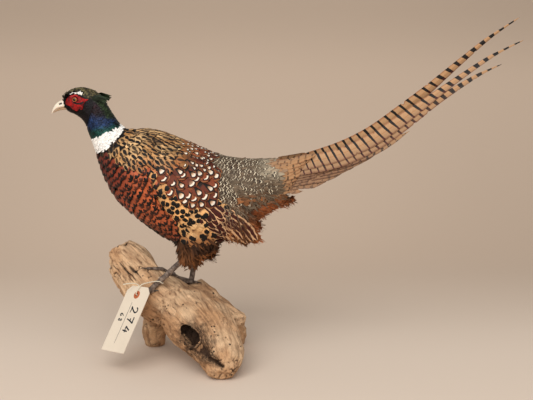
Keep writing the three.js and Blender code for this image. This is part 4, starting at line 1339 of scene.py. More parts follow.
def make_fluff(colours, sizes):
    """Soft strands on the thighs, the belly, the vent and under the tail."""
    rng = np.random.default_rng(SEEDS["fluff"])
    bird = body()
    centres, stations, turns = bird.face_places()
    x, y, z = centres.T
    soft = body_part(centres, stations) == "under"
    soft |= (z < 195) & (x > -30)
    soft &= stations > 12.5
    centres, stations, turns = centres[soft], stations[soft], turns[soft]
    chosen = scattered(centres, 1.9, rng)
    roots, stations, turns = centres[chosen], stations[chosen], turns[chosen]
    x, y, z = roots.T
    thigh = smoothstep(x, 40, 12) * smoothstep(z, 196, 178)
    under_tail = smoothstep(x, 70, 92)
    lies = np.stack([0.55 + 0 * x, 0.06 * np.sign(y), -0.75 + 0 * x], axis=1)
    stops = (-20, 5, 30)
    swept = [np.interp(x, stops, (-0.1, 0.5, 1.0)), 0 * x, np.interp(x, stops, (-1.0, -0.85, -0.4))]
    lies = lies * (1 - thigh[:, None]) + np.stack(swept, axis=1) * thigh[:, None]
    lies = towards(lies, (1, 0, -0.12), under_tail)
    swirl = np.stack([wobble(roots, 0.06, 14), wobble(roots, 0.06, 15), 0 * x], axis=1)
    lies = lies + 0.45 * swirl + rng.normal(0, 0.14, lies.shape)
    count = len(roots)
    lengths = rng.uniform(13, 24, count) * (1 + 0.35 * under_tail) * sizes.down_length
    tuft = smoothstep(wobble(roots * [1, 1, 0.35], 0.075, 13), -0.2, 0.5) * (1 - under_tail)
    hidden = np.clip(smoothstep(x, -32, -4) + smoothstep(z, 170, 185), 0, 1)
    lengths *= (0.72 + 0.55 * tuft) * (0.6 + 0.4 * hidden)
    lengths *= 1 - 0.5 * smoothstep(x, 62, 80) * smoothstep(z, 222, 200)
    widths = rng.uniform(1.6, 3.8, count) * (1 + 1.3 * under_tail)
    lifts = rng.uniform(0.5, 4.0, count) * (0.5 + 1.3 * tuft)
    points = lay_vanes(LOCK, bird.surface, roots, lies, lengths, widths, rng, depth=2.8, lift=lifts,
                       camber=0.16, sweep=0.18, cling=0.5, rough=0.12)
    part = np.full(count, "under", dtype=object)
    ground, _ = plumage_ground(part, roots + unit(lies) * 10, stations, colours)
    # Painted shade: the strands in the hollows between the tufts are darker.
    hollow = (1 - tuft) * (1 - under_tail)
    ground = ground * (0.66 + 0.3 * under_tail - 0.36 * hollow)[:, None] * rng.uniform(0.55, 1.35, (count, 1))
    material = plain_feather("fluff_strand", roughness=0.8)
    return coat_piece("fluff", LOCK, points, stations, turns, ground, rng.random(count), material, "fluff")


def make_hairs(colours, sizes):
    """Loose hair-like strands that hang from the rump's lower edge, the tail's root and the thighs."""
    rng = np.random.default_rng(SEEDS["hairs"])
    bird = body()
    centres, stations, turns = bird.face_places()
    x, y, z = centres.T
    edge = (x > 40) & (z < 256) & (stations < 20.9)
    edge |= (x > 92) & (stations < 20.9) & (z < 268)
    edge |= (z < 174) & (x > -34)
    edge |= (x > 84) & (z < 250)
    centres, stations, turns = centres[edge], stations[edge], turns[edge]
    chosen = scattered(centres, 2.6, rng)
    chosen = chosen[rng.random(len(chosen)) < 0.75]
    roots, stations, turns = centres[chosen], stations[chosen], turns[chosen]
    x, y, z = roots.T
    tail_end = smoothstep(x, 60, 110)
    lies = np.stack([0.6 + 0.3 * tail_end, 0.05 * np.sign(y), -0.75 + 0.3 * tail_end], axis=1)
    lies += rng.normal(0, 0.22, lies.shape)
    count = len(roots)
    lengths = rng.uniform(15, 30, count) * (1 - 0.25 * smoothstep(z, 175, 160)) * sizes.down_length
    widths = rng.uniform(0.8, 2.0, count)
    points = lay_vanes(STRAND, bird.surface, roots, lies, lengths, widths, rng, depth=1.5,
                       lift=rng.uniform(0.8, 4.5, count), camber=0.2, sweep=0.2, cling=0.45, rough=0.12)
    shade = 0.5 + 0.9 * wobble(roots, 0.06, 7)
    ground = blend(colours.fluff_rufous, colours.rump_grey, smoothstep(z + 16 * shade, 224, 250))
    rusty = tail_end * smoothstep(z, 246, 238)
    ground = towards(ground, colours.undertail, rusty)
    ground = ground * rng.uniform(0.55, 1.35, (count, 1))
    material = plain_feather("loose_hair", roughness=0.8)
    return coat_piece(
        "loose_hairs", STRAND, points, stations, turns, ground, rng.random(count), material, "fluff"
    )


# ------------------------------------------------------------- the bird's head


def tube(path, wide, deep, around=12, up=(0, 0, 1)):
    """A closed tube along a path, with its half widths across and upwards."""
    path = np.asarray(path, dtype=float)
    sides, ups = frames_along(path, np.broadcast_to(up, path.shape))
    turn = -np.arange(around) * TAU / around
    wide = np.broadcast_to(wide, len(path))[:, None, None]
    deep = np.broadcast_to(deep, len(path))[:, None, None]
    rings = path[:, None] + sides[:, None] * np.cos(turn)[None, :, None] * wide
    rings = rings + ups[:, None] * np.sin(turn)[None, :, None] * deep
    return rings_mesh(rings)


def eye_frame(sign):
    """Directions out of one eye, across it and up it."""
    axis = unit(np.array([-0.3, sign, 0.06]))
    across = unit(np.cross(axis, [0, 0, 1]))
    return axis, across, np.cross(across, axis)


def iris_finish(name, colours):
    """A dark pupil in an amber iris under a wet, clear surface."""
    finish = Finish(name, 0.08, Specular_IOR_Level=0.35)
    around, turn = finish.uv("iris")
    ring = turn + finish.noise(finish.vector(around * 30, turn * 2), 2.0, 2.0) * 0.02
    rays = finish.noise(finish.vector(around * 90, turn * 3), 1.5, 2.0)
    amber = finish.shade(colours.amber, 0.5 + rays * 0.9)
    rim = finish.mix(finish.step(ring, 0.42, 0.5), amber, colours.black)
    return finish.done(finish.mix(finish.step(ring, 0.345, 0.32), rim, PUPIL_COLOUR))


def make_eye(side, sign, colours):
    """A glass eye with a raised cornea, in its solid's place."""
    axis, across, up = eye_frame(sign)
    rows, columns = EYE_RINGS, EYE_SPOKES
    tilt = np.linspace(0, math.pi, rows + 2)[1:-1]
    turn = np.arange(columns) * TAU / columns
    radius = EYE_RADIUS * (1 + 0.05 * np.exp(-(tilt / 0.5) ** 2))
    ring = np.cos(turn)[None, :, None] * across + np.sin(turn)[None, :, None] * up
    points = ring * (radius * np.sin(tilt))[:, None, None] + axis * (radius * np.cos(tilt))[:, None, None]
    front, back = axis * EYE_RADIUS * 1.05, -axis * EYE_RADIUS
    points = np.vstack([front, points.reshape(-1, 3), back]) + EYE * [1, sign, 1]
    grid = 1 + np.arange(rows * columns).reshape(rows, columns)
    turned = np.roll(grid, -1, axis=1)
    quads = np.stack([turned[:-1], turned[1:], grid[1:], grid[:-1]], axis=-1).reshape(-1, 4)
    last = rows * columns + 1
    fans = np.vstack([
        np.stack([turned[0], grid[0], 0 * grid[0]], axis=1),
        np.stack([0 * grid[-1] + last, grid[-1], turned[-1]], axis=1),
    ])
    uv = np.stack([np.tile(turn / TAU, rows), np.repeat(tilt / math.pi * 2, columns)], axis=1)
    uv = np.vstack([[0, 0], uv, [0, 2]])
    material = iris_finish(f"iris_{side}", colours)
    piece = mesh_piece(f"glass_eye_{side}", points, [quads, fans], material, "eye", {"iris": uv})
    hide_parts(f"eye_{side}")


def wattle_finish(name, colours):
    """Scarlet bare skin with painted shade in its folds and in broad patches, and a black line under the eye.
    """
    finish = Finish(name, 0.5, Subsurface_Weight=0.1, Subsurface_Scale=0.002, Coat_Weight=0.05)
    place = finish.place()
    folds = finish.noise(place, 210, 4.0, 0.6)
    fine = finish.cells(place, 1300)
    stripe = finish.attribute("stripe")
    # Painted shade: the folds and the broad patches darken the red.
    shaded = finish.mix(finish.step(folds, 0.56, 0.36) * 0.8, colours.wattle, colours.wattle_dark)
    broad = finish.step(finish.noise(place, 115, 2.0), 0.58, 0.4)
    shaded = finish.mix(broad * 0.45, shaded, colours.wattle_dark)
    shaded = finish.shade(shaded, 0.75 + fine * 0.55)
    finish.bump(fine, 0.0004, 0.5)
    return finish.done(finish.mix(stripe, shaded, colours.black))


# How finely the wattle is meshed and how thick its skin is.
WATTLE_SPOKES, WATTLE_RINGS = 132, 40
WATTLE_THICK = 2.6

# The line of tiny black feathers that curves back below the eye, seen from the side.
STRIPE = ((-174.5, 390), (-171.6, 388.7), (-168, 388.2), (-164.4, 388.6), (-161, 390.3))
STRIPE_POINTS = 30

# How far apart the papillae are and how large, in metres, as geometry nodes count.
PAPILLA_SPACING = 0.00092
PAPILLA_RADIUS = 0.00047


def papillae_tree(material):
    """Geometry nodes that stud a surface with small domes where its studded attribute is high."""
    tree = bpy.data.node_groups.new("papillae", "GeometryNodeTree")
    tree.interface.new_socket("Surface", in_out="INPUT", socket_type="NodeSocketGeometry")
    for name, usual in (("Spacing", PAPILLA_SPACING), ("Dome Radius", PAPILLA_RADIUS)):
        socket = tree.interface.new_socket(name, in_out="INPUT", socket_type="NodeSocketFloat")
        socket.default_value = usual
        socket.subtype = "DISTANCE"
    tree.interface.new_socket("Studded Surface", in_out="OUTPUT", socket_type="NodeSocketGeometry")

    def add(kind, inputs=None, **settings):
        """A new node with its settings made and its inputs filled."""
        node = tree.nodes.new(kind)
        for key, value in settings.items():
            setattr(node, key, value)
        for key, value in (inputs or {}).items():
            node.inputs[key].default_value = value
        return node

    given, result = add("NodeGroupInput"), add("NodeGroupOutput")
    studded = add("GeometryNodeInputNamedAttribute", {"Name": "studded"}, data_type="FLOAT")
    high = add("FunctionNodeCompare", {"B": 0.5}, data_type="FLOAT", operation="GREATER_THAN")
    scattering = {"Density Max": 3e6, "Seed": 7}
    scatter = add("GeometryNodeDistributePointsOnFaces", scattering, distribute_method="POISSON")
    dome = add("GeometryNodeMeshIcoSphere", {"Subdivisions": 2})
    spread = {"Min": (0.7, 0.7, 0.45), "Max": (1.15, 1.15, 0.8), "Seed": 3}
    sizes = add("FunctionNodeRandomValue", spread, data_type="FLOAT_VECTOR")
    place = add("GeometryNodeInstanceOnPoints")
    whole = add("GeometryNodeRealizeInstances")
    smooth = add("GeometryNodeSetShadeSmooth")
    join = add("GeometryNodeJoinGeometry")
    painted = add("GeometryNodeSetMaterial", {"Material": material})
    for source, output, target, entry in (
        (studded, "Attribute", high, "A"),
        (given, "Surface", scatter, "Mesh"),
        (high, "Result", scatter, "Selection"),
        (given, "Spacing", scatter, "Distance Min"),
        (given, "Dome Radius", dome, "Radius"),
        (scatter, "Points", place, "Points"),
        (dome, "Mesh", place, "Instance"),
        (scatter, "Rotation", place, "Rotation"),
        (sizes, "Value", place, "Scale"),
        (place, "Instances", whole, "Geometry"),
        (whole, "Geometry", smooth, "Geometry"),
        (smooth, "Geometry", join, "Geometry"),
        (given, "Surface", join, "Geometry"),
        (join, "Geometry", painted, "Geometry"),
        (painted, "Geometry", result, "Studded Surface"),
    ):
        tree.links.new(source.outputs[output], target.inputs[entry])
    return tree


def with_nodes_applied(piece, tree, **inputs):
    """Run a node tree on a piece and keep the plain mesh that comes out."""
    modifier = piece.modifiers.new(tree.name, "NODES")
    modifier.node_group = tree
    for item in tree.interface.items_tree:
        key = item.name.lower().replace(" ", "_")
        if item.in_out == "INPUT" and key in inputs:
            modifier[item.identifier] = inputs[key]
    evaluated = piece.evaluated_get(bpy.context.evaluated_depsgraph_get())
    mesh = bpy.data.meshes.new_from_object(evaluated)
    material = piece.data.materials[0]
    piece.modifiers.clear()
    piece.data = mesh
    mesh.materials.clear()
    mesh.materials.append(material)


def closed_outline(points, count):
    """A smooth closed outline through points, with count points."""
    knots = np.asarray(points, dtype=float)
    wrapped = np.vstack([knots[-2:], knots, knots[:3]])
    line = spline(wrapped, 40 * len(wrapped))
    per = 40 * len(wrapped) / (len(wrapped) - 1)
    line = line[int(2 * per):int((2 + len(knots)) * per)]
    far = lengths_along(line)
    wanted = np.linspace(0, far[-1], count, endpoint=False)
    return np.stack([np.interp(wanted, far, line[:, i]) for i in (0, 1)], axis=1)


def make_wattle(side, sign, colours):
    """The bare scarlet skin round one eye, studded with papillae."""
    bird = body()
    outline = closed_outline(WATTLE, WATTLE_SPOKES)
    centre = EYE[[0, 2]]
    steps = np.linspace(0, 1, WATTLE_RINGS)
    flat = centre + (outline[None] - centre) * steps[:, None, None]
    rows, columns = flat.shape[:2]
    beside = np.full((rows, columns), sign * 60.0)
    start = np.stack([flat[..., 0], beside, flat[..., 1]], axis=-1).reshape(-1, 3)
    hits, _ = bird.surface.first_hit(start, np.tile([0.0, -sign, 0.0], (len(start), 1)))
    gap = np.hypot(flat[..., 0] - centre[0], (flat[..., 1] - centre[1]) * 1.15).ravel()
    reach = np.repeat(steps, columns)
    rise = 0.9 * (1 - reach**7) - 1.4 * smoothstep(reach, 0.93, 1.0)
    rise += 0.35 * wobble(hits, 0.35, 4) * smoothstep(gap, 4, 6) + 0.5 * np.exp(-((gap - 5.4) / 1.4) ** 2)
    rise -= 5.5 * smoothstep(gap, 4.4, 2.2)
    hits[:, 1] += sign * rise
    line = spline(STRIPE, STRIPE_POINTS)
    near = np.min(np.hypot(hits[:, :1] - line[:, 0], hits[:, 2:] - line[:, 1]), axis=1)
    stripe = smoothstep(near, 1.6, 1.15)
    studded = (smoothstep(gap, 5.0, 5.6) * (reach < 0.94) * (stripe < 0.5)).astype(float)

    # The skin's front and back, and the rim that joins them.
    back = hits - [0, sign * WATTLE_THICK, 0]
    count = len(hits)
    grid = np.arange(count).reshape(rows, columns)
    turned = np.roll(grid, -1, axis=1)
    front = np.stack([grid[1:-1], grid[2:], turned[2:], turned[1:-1]], axis=-1).reshape(-1, 4)
    fan = np.stack([0 * grid[1], grid[1], turned[1]], axis=1)
    rim = np.stack([grid[-1], grid[-1] + count, turned[-1] + count, turned[-1]], axis=1)
    quads = np.vstack([front, front[:, ::-1] + count, rim])
    fans = np.vstack([fan, fan[:, ::-1] + count])
    points = np.vstack([hits, back])
    if looks_against(points, quads[0], (0, sign, 0)):
        quads, fans = quads[:, ::-1], fans[:, ::-1]
    used = np.unique(np.concatenate([quads.ravel(), fans.ravel()]))
    renumber = np.zeros(len(points), dtype=int)
    renumber[used] = np.arange(len(used))
    attributes = {
        "stripe": np.concatenate([stripe, stripe * 0])[used],
        "studded": np.concatenate([studded, studded * 0])[used],
    }
    material = wattle_finish(f"wattle_{side}", colours)
    faces = [renumber[quads], renumber[fans]]
    piece = mesh_piece(f"wattle_skin_{side}", points[used], faces, material, None, None, attributes)
    with_nodes_applied(piece, papillae_tree(material), spacing=PAPILLA_SPACING, dome_radius=PAPILLA_RADIUS)
    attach(piece, "root")
    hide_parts(f"wattle_{side}")


# The eyelids' opening, how far out of the eye's middle they lie and how thick they are.
LID_WIDE, LID_HIGH = 3.55, 3.15
LID_OUT = 3.45
LID_THICK = 0.62
LID_STEPS, LID_ROUND = 72, 12


def make_eyelids(side, sign, colours):
    """The wrinkled ring of bare skin close round one eye."""
    axis, across, up = eye_frame(sign)
    turn = np.arange(LID_STEPS) * TAU / LID_STEPS
    small = np.arange(LID_ROUND) * TAU / LID_ROUND
    open_wide = LID_WIDE * (1 + 0.16 * np.abs(np.cos(turn)) ** 6)
    ring = across * (np.cos(turn) * open_wide)[:, None] + up * (np.sin(turn) * LID_HIGH)[:, None]
    outwards = unit(ring)
    thick = LID_THICK + 0.1 * np.sin(turn * 9) * np.sin(turn * 4 + 1)
    rings = EYE * [1, sign, 1] + axis * LID_OUT + ring[:, None] + (
        outwards[:, None] * (np.cos(small)[None] * thick[:, None])[..., None] * 1.15
        + axis * (np.sin(small)[None] * thick[:, None])[..., None]
    )
    quads = hoop_quads(LID_STEPS, LID_ROUND)[:, ::-1]
    lid = Finish(f"eyelid_{side}", 0.4, Coat_Weight=0.2)
    dark = lid.mix(0.62, colours.wattle, colours.wattle_dark)
    grain = lid.noise(lid.place(), 900, 3.0)
    lid.bump(grain, 0.0003, 0.4)
    material = lid.done(lid.shade(dark, 0.6 + grain * 0.8))
    mesh_piece(f"eyelids_{side}", rings.reshape(-1, 3), [quads], material, "wattle")


# The bill's mandibles, seen from the side: ridge, lower edge and half widths from base to tip.
UPPER_BILL = (
    ((-186.5, 391.2), (-191, 391.6), (-197, 390.6), (-204, 385.3), (-208.6, 377.8), (-210.4, 371)),
    ((-184, 382.4), (-189, 381.7), (-195, 380.8), (-201.5, 379.3), (-206.5, 375.5), (-209.9, 370.7)),
    (6.4, 6.2, 5.5, 4.2, 2.4, 0.4),
)
LOWER_BILL = (
    ((-184, 381.8), (-189, 380.9), (-194, 380.1), (-200.5, 378.3), (-205, 375.4), (-207.7, 373.2)),
    ((-184, 377.4), (-188, 377.2), (-192, 376.9), (-198, 376.0), (-203, 374.3), (-207.1, 372.4)),
    (5.8, 5.5, 4.9, 3.6, 2.1, 0.5),
)

# Each mandible's rows and sides, and the steps in which its outlines are drawn.
BILL_ROWS, BILL_SIDES = 80, 40
FINE_STEPS = 400

# Where the nostril is on the upper mandible, and its slant in degrees.
NOSTRIL = (-196.2, 386.3)
NOSTRIL_SLANT = -24


def horn_finish(name, colours):
    """Ivory horn, tan along its edge and its base, with fine growth lines and the nostril's opening in
    painted shade.
    """
    finish = Finish(
        name, 0.36, Subsurface_Weight=0.08, Subsurface_Scale=0.002, Coat_Weight=0.12, Coat_Roughness=0.3
    )
    along, height = finish.uv("horn")
    dark = finish.attribute("nostril")
    lines = finish.noise(finish.vector(along * 60, height * 2), 2.0, 3.0)
    stain = finish.noise(finish.place(), 220, 3.0)
    lower = finish.attribute("lower")
    tan_share = finish.math("MAXIMUM", finish.step(height, 0.3, 0.05) * 0.75, lower * 0.8)
    tan = finish.mix(tan_share, colours.bill, colours.bill_edge)
    stained = finish.step(along, 0.35, 0.1) * finish.step(stain, 0.45, 0.65)
    tan = finish.mix(stained * 0.5, tan, colours.bill_edge)
    finish.bump(lines, 0.0002, 0.35)
    # Painted shade: the nostril's opening is black.
    return finish.done(finish.mix(dark, finish.shade(tan, 0.86 + lines * 0.26), colours.black))


def make_bill(colours):
    """Both mandibles, with the nostrils cut into the upper one."""
    material = horn_finish("horn", colours)
    for name, (ridge, edge, half), upper in (("upper", UPPER_BILL, True), ("lower", LOWER_BILL, False)):
        t = np.linspace(0, 1, BILL_ROWS) ** 0.9
        fine = np.linspace(0, 1, FINE_STEPS)
        half = np.array(half)[:, None]
        ridge, edge, half = (
            np.stack([np.interp(t, fine, v) for v in spline(values, FINE_STEPS).T], axis=1)
            for values in (ridge, edge, half)
        )
        half = half[:, 0]
        turn = np.arange(BILL_SIDES) * TAU / BILL_SIDES
        sine, cosine = np.sin(turn), np.cos(turn)
        width = np.sign(cosine) * np.abs(cosine) ** 0.8
        if upper:
            height = np.where(sine > 0, np.abs(sine) ** 0.85, -0.06 * np.abs(sine))
        else:
            height = np.where(sine > 0, 1 + 0.05 * sine, 1 - np.abs(sine) ** 0.8)
        middle = edge[:, None] + (ridge - edge)[:, None] * height[None, :, None]
        y = half[:, None] * width[None]
        rings = np.stack([middle[..., 0], y, middle[..., 1]], axis=-1)
        dark = np.zeros((BILL_ROWS, BILL_SIDES))
        if upper:
            x, z = rings[..., 0] - NOSTRIL[0], rings[..., 2] - NOSTRIL[1]
            slant = math.radians(NOSTRIL_SLANT)
            a, b = x * math.cos(slant) - z * math.sin(slant), x * math.sin(slant) + z * math.cos(slant)
            gap = (a / 2.9) ** 2 + (b / 1.25) ** 2
            dark = smoothstep(gap, 1.15, 0.75)
            rings[..., 1] -= np.sign(rings[..., 1]) * 0.9 * dark
            flap = np.exp(-(((a - 0.2) / 3.0) ** 2 + ((b - 1.7) / 1.0) ** 2))
            rings[..., 1] += np.sign(rings[..., 1]) * 0.55 * flap
        points, quads, caps = rings_mesh(rings)
        uv = np.stack([np.repeat(t, BILL_SIDES), np.tile(np.clip(height, 0, 1), BILL_ROWS)], axis=1)
        attributes = {"nostril": dark.ravel(), "lower": np.full(len(points), float(not upper))}
        piece = mesh_piece(f"mandible_{name}", points, [quads[:, ::-1], caps[:, ::-1]], material, "bill",
                           {"horn": uv}, attributes, sharp=HORN_CREASE)
        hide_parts(f"bill_{name}")


# How many feathers stand in each ear tuft, and the points along each one.
TUFT_COUNT = 26
TUFT_POINTS = 16


def make_ear_tuft(side, sign, colours):
    """The raised feathers that point back from behind one eye."""
    rng = np.random.default_rng(SEEDS["ears"] + sign)
    plumes, shades, tones = [], [], []
    for number in range(TUFT_COUNT):
        share = number / (TUFT_COUNT - 1)
        root = np.array([-150 + 5 * rng.random(), sign * rng.uniform(12.8, 14.6), 392.5 + 5.0 * share])
        middle = np.array([-137 + 3 * rng.random(), sign * rng.uniform(14.4, 16.4), 393.5 + 5.4 * share])
        tip = np.array([
            -130.5 + 9.5 * rng.random() * (0.5 + share / 2),
            sign * rng.uniform(13.6, 16.2),
            389 + 6.6 * share + rng.normal(0, 0.6),
        ])
        centres = spline([root, (root + middle) / 2 + [0, sign * 0.3, 0.4], middle, tip], TUFT_POINTS)
        v = np.linspace(0, 1, TUFT_POINTS)
        half = rng.uniform(1.2, 1.9) * tapered(v, 0.45, 0.4, 0.4, 0.02)
        sides, ups = frames_along(centres, np.tile([0, sign * 1.0, 0.25], (TUFT_POINTS, 1)))
        vane = long_vane(centres, sides, ups, half, half, thickness=0.15, camber=0.2, shaft=0.1, columns=5)
        plumes.append((vane, v))
        shades.append(rng.uniform(0.25, 0.7))
        tones.append(rng.random())
    ground = np.asarray(colours.nape_green) * np.repeat(shades, len(vane[0]))[:, None]
    material = glossy_feather(f"ear_feather_{side}")
    piece = plume_piece(f"ear_feathers_{side}", plumes, tones, material, "neck", ground=ground)
    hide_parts(f"ear_tuft_{side}")


# -------------------------------------------------------------- legs and claws

# Each leg's heel and foot, the names of its toes, and how far apart its scales' seams lie.
LEGS = {
    "left": ((-5, -26.5, 167), (-69, -26, 104)),
    "right": ((3, 25.5, 174), (-9, 24, 112)),
}
TOES = ("inner", "middle", "outer", "hind")
SHANK_SCALE, TOE_SCALE = 3.8, 3.2
CLAW_POINTS, CLAW_SIDES = 24, 14


def leg_finish(name, colours):
    """Grey-brown scaly skin, darker between the scales."""
    finish = Finish(name, 0.5)
    groove = finish.attribute("groove")
    place = finish.place()
    patch = finish.noise(place, 160, 3.0)
    scales = finish.cells(place, 900)
    base = finish.mix(finish.step(patch, 0.35, 0.7), colours.leg_dark, colours.leg)
    finish.bump(scales, 0.0003, 0.5)
    lit = finish.shade(base, 0.7 + scales * 0.5)
    return finish.done(finish.mix(groove * 0.55, lit, colours.claw))


def make_leg(side, sign, colours):
    """One scaly shank and foot in place of its two solids."""
    points, quads, normals = remeshed([f"shank_{side}", f"foot_{side}"], voxel=0.55, smoothing=4)
    heel, foot = (np.array(p, dtype=float) for p in LEGS[side])
    axis = unit(foot - heel)
    reach = (points - heel) @ axis
    length = np.linalg.norm(foot - heel)
    off = np.linalg.norm(points - heel - reach[:, None] * axis, axis=1)
    shank = smoothstep(length - reach, 4, 9) * smoothstep(off, 9, 7)
    front = smoothstep(normals @ unit(np.array([-1, sign * 0.2, -0.4])), -0.35, 0.1)
    from_foot = np.linalg.norm(points - foot, axis=1)
    along_shank = reach / SHANK_SCALE + 0.2 * wobble(points, 0.12, 8)
    coordinate = np.where(shank > 0.5, along_shank, from_foot / TOE_SCALE)
    fraction = np.abs(np.mod(coordinate, 1) - 0.5) * 2
    groove = smoothstep(fraction, 0.6, 1.0)
    upper_side = smoothstep(normals[:, 2], -0.1, 0.35)
    scaled = np.where(shank > 0.5, front, upper_side)
    groove = groove * scaled
    pebbles = wobble(points, 0.9, 9) * (1 - scaled)
    lump = 0.3 * wobble(points, 0.22, 10)
    moved = points + normals * (0.12 - 0.3 * groove + 0.2 * pebbles + lump)[:, None]
    piece = mesh_piece(f"leg_{side}", moved, [quads], leg_finish(f"leg_{side}", colours), "leg",
                       None, {"groove": groove})
    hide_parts(f"shank_{side}", f"foot_{side}")


def make_claws(colours):
    """The eight claws, smooth and curved, in their solids' places."""
    material = grained("claw_horn", colours.claw, 0.3, 500, 0.6, 0.9, (0.0002, 0.3), Coat_Weight=0.2)
    for side, _ in SIDES:
        foot = np.array(LEGS[side][1], dtype=float)
        for toe in TOES:
            node = f"claw_{toe}_{side}"
            points = np.unique(np.round(cad_arrays([node])[0], 2), axis=0)
            gaps = np.linalg.norm(points[:, None] - points[None], axis=2)
            i, j = np.unravel_index(np.argmax(gaps), gaps.shape)
            from_foot = np.linalg.norm(points - foot, axis=1)
            far = j if from_foot[i] < from_foot[j] else i
            order = np.argsort(gaps[far])
            tip = points[far]
            base = points[order[-5:]].mean(axis=0)
            share = (points - base) @ unit(tip - base) / np.linalg.norm(tip - base)
            middle = points[(share > 0.25) & (share < 0.8)]
            middle = middle.mean(axis=0) if len(middle) > 2 else (base + tip) / 2
            radius = np.linalg.norm(points[order[-5:]] - base, axis=1).mean()
            line = spline([base - (tip - base) * 0.12, base, middle, tip], CLAW_POINTS)
            v = np.linspace(0, 1, CLAW_POINTS)
            size = radius * np.clip(1.02 - v, 0.03, 1) ** 0.75
            up = unit(np.array([0.1, 0.2, 1]))
            shape, faces, caps = tube(line, size * 0.85, size * 1.1, CLAW_SIDES, up)
            name = f"horn_{toe}_{side}"
            piece = mesh_piece(name, shape, [faces, caps], material, "claw", sharp=HORN_CREASE)
            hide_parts(node)


# ------------------------------------------------------------------ the mount

# The driftwood's limbs, which its grain runs along.
GRAIN_LINES = (
    ((-142, 32, 152), (-126, 27, 140), (-101, 19, 121), (-70, 6, 97), (-40, 0, 80), (-10, -5, 68)),
    ((-60, 20, 86), (-24, 2, 72), (3, -38, 62), (28, -76, 46), (40, -101, 28), (44, -117, 15), (45, -127, 5)),
    ((-40, 0, 84), (-52, 14, 72), (-64, 28, 42), (-68, 38, 20), (-68, 43, -3)),
    ((-30, 20, 84), (4, 28, 88), (22, 27, 69), (55, 26, 44), (49, 55, -3)),
)
GRAIN_REACH = (34, 44, 24, 24)


def wood_finish(name, colours):
    """Weathered wood: streaks along the grain, stains, cracks and worm holes painted black as shade, and the
    hollow dark with rot and painted shade.
    """
    finish = Finish(name, 0.78)
    grain = finish.node("ShaderNodeAttribute", attribute_name="grain").outputs["Vector"]
    crack = finish.attribute("crack")
    hollow = finish.attribute("hollow")
    place = finish.place()
    streak = finish.noise(grain, 0.45, 5.0, 0.6)
    fine = finish.noise(grain, 2.4, 5.0, 0.68)
    broad = finish.noise(place, 22, 3.0)
    stain = finish.step(finish.noise(place, 48, 4.0, 0.6), 0.52, 0.72)
    base = finish.mix(finish.step(broad, 0.38, 0.66), colours.wood, colours.wood_pale)
    base = finish.mix(finish.step(streak, 0.52, 0.3) * 0.75, base, colours.wood_dark)
    base = finish.mix(stain * 0.35, base, colours.wood_dark)
    wormy = finish.step(finish.noise(place, 30, 2.0), 0.5, 0.56)
    holes = finish.step(finish.cells(place, 105), 0.2, 0.13) * wormy
    furrow = finish.attribute("furrow")
    base = finish.mix(furrow * 0.45, base, colours.wood_dark)
    # Darker round the hollow and its groove.
    scorched = finish.attribute("scorched") * finish.step(fine, 0.75, 0.4)
    base = finish.mix(scorched * 0.92, base, colours.fluff_dark)
    base = finish.mix(finish.attribute("knob") * 0.6, base, colours.wood_pale)
    # Rot and painted shade: the hollow turns to very dark wood.
    ragged = finish.step(hollow + (fine - 0.5) * 0.9, 0.3, 0.95)
    rot_and_painted_shade = finish.shade(colours.wood_dark, 0.04 + fine * 0.5)
    sound = finish.mix(ragged * 0.94, finish.shade(base, 0.42 + fine * 1.16), rot_and_painted_shade)
    # Painted shade: the cracks and worm holes turn black.
    dark = finish.math("MINIMUM", crack * 0.85 + holes * 0.9, 1.0)
    shaded = finish.mix(dark, sound, colours.black)
    height = fine * 0.6 + streak * 0.5 - holes * 0.5
    finish.bump(height, 0.0022, 0.55)
    return finish.done(shaded)


# The rotted hollow in the front of the wood, seen from the side: a pit, dark with rot and painted shade, that
# runs out into a groove, with how wide it is at each point.
HOLLOW_LINE = ((-9, 62), (1, 56), (9, 47), (20, 39), (33, 30), (45, 23))
HOLLOW_WIDTH = (8.5, 12.0, 11.0, 6.5, 3.4, 1.4)
HOLLOW_POINTS = 60


def rot_hollow(points, normals):
    """How far each place is in the hollow and its groove, and in the darker ring round them, from 0 to 1."""
    line = spline(HOLLOW_LINE, HOLLOW_POINTS)
    width = spline(np.array(HOLLOW_WIDTH, dtype=float)[:, None], HOLLOW_POINTS)[:, 0]
    ragged = 1 + 0.6 * wobble(points, 0.11, 21) + 0.35 * wobble(points, 0.3, 22)
    gaps = np.hypot(points[:, :1] - line[:, 0], points[:, 2:] - line[:, 1]) / width
    near = np.min(gaps, axis=1) / ragged
    facing = smoothstep(points[:, 1], -34, -54) * smoothstep(normals[:, 1], 0.9, 0.6)
    return smoothstep(near, 1.25, 0.45) * facing, smoothstep(near, 3.0, 0.9) * facing


class Grain:
    """Coordinates that run along the driftwood's limbs and blend where the limbs meet."""

    BLOCK = 20000

    def __init__(self, points):
        weights, self.coordinates = [], []
        for number, (line, reach) in enumerate(zip(GRAIN_LINES, GRAIN_REACH)):
            path = spline(line, 120)
            far = lengths_along(path)
            near = np.empty(len(points), dtype=int)
            for start in range(0, len(points), self.BLOCK):
                block = points[start:start + self.BLOCK]
                gaps = ((block[:, None] - path[None]) ** 2).sum(axis=2)
                near[start:start + self.BLOCK] = np.argmin(gaps, axis=1)
            offset = points - path[near]
            along = unit(np.gradient(path, axis=0))[near]
            run = far[near] + np.sum(offset * along, axis=1)
            offset = offset - along * np.sum(offset * along, axis=1, keepdims=True)
            gap = np.linalg.norm(points - path[near], axis=1) / reach
            weights.append(1 / (0.02 + gap**6))
            shift = np.array([number * 37.0, number * 11.0, 0])
            self.coordinates.append((offset + shift) * 0.5 + np.array([0.0, 0.0, 0.02]) * run[:, None])
        self.weights = np.array(weights) / np.sum(weights, axis=0)

    def wobble(self, scale, seed):
        """Smooth noise drawn out along the limbs."""
        return sum(w * wobble(c, scale, seed) for w, c in zip(self.weights, self.coordinates))

    def vectors(self):
        """The blended coordinates."""
        return sum(w[:, None] * c for w, c in zip(self.weights, self.coordinates))


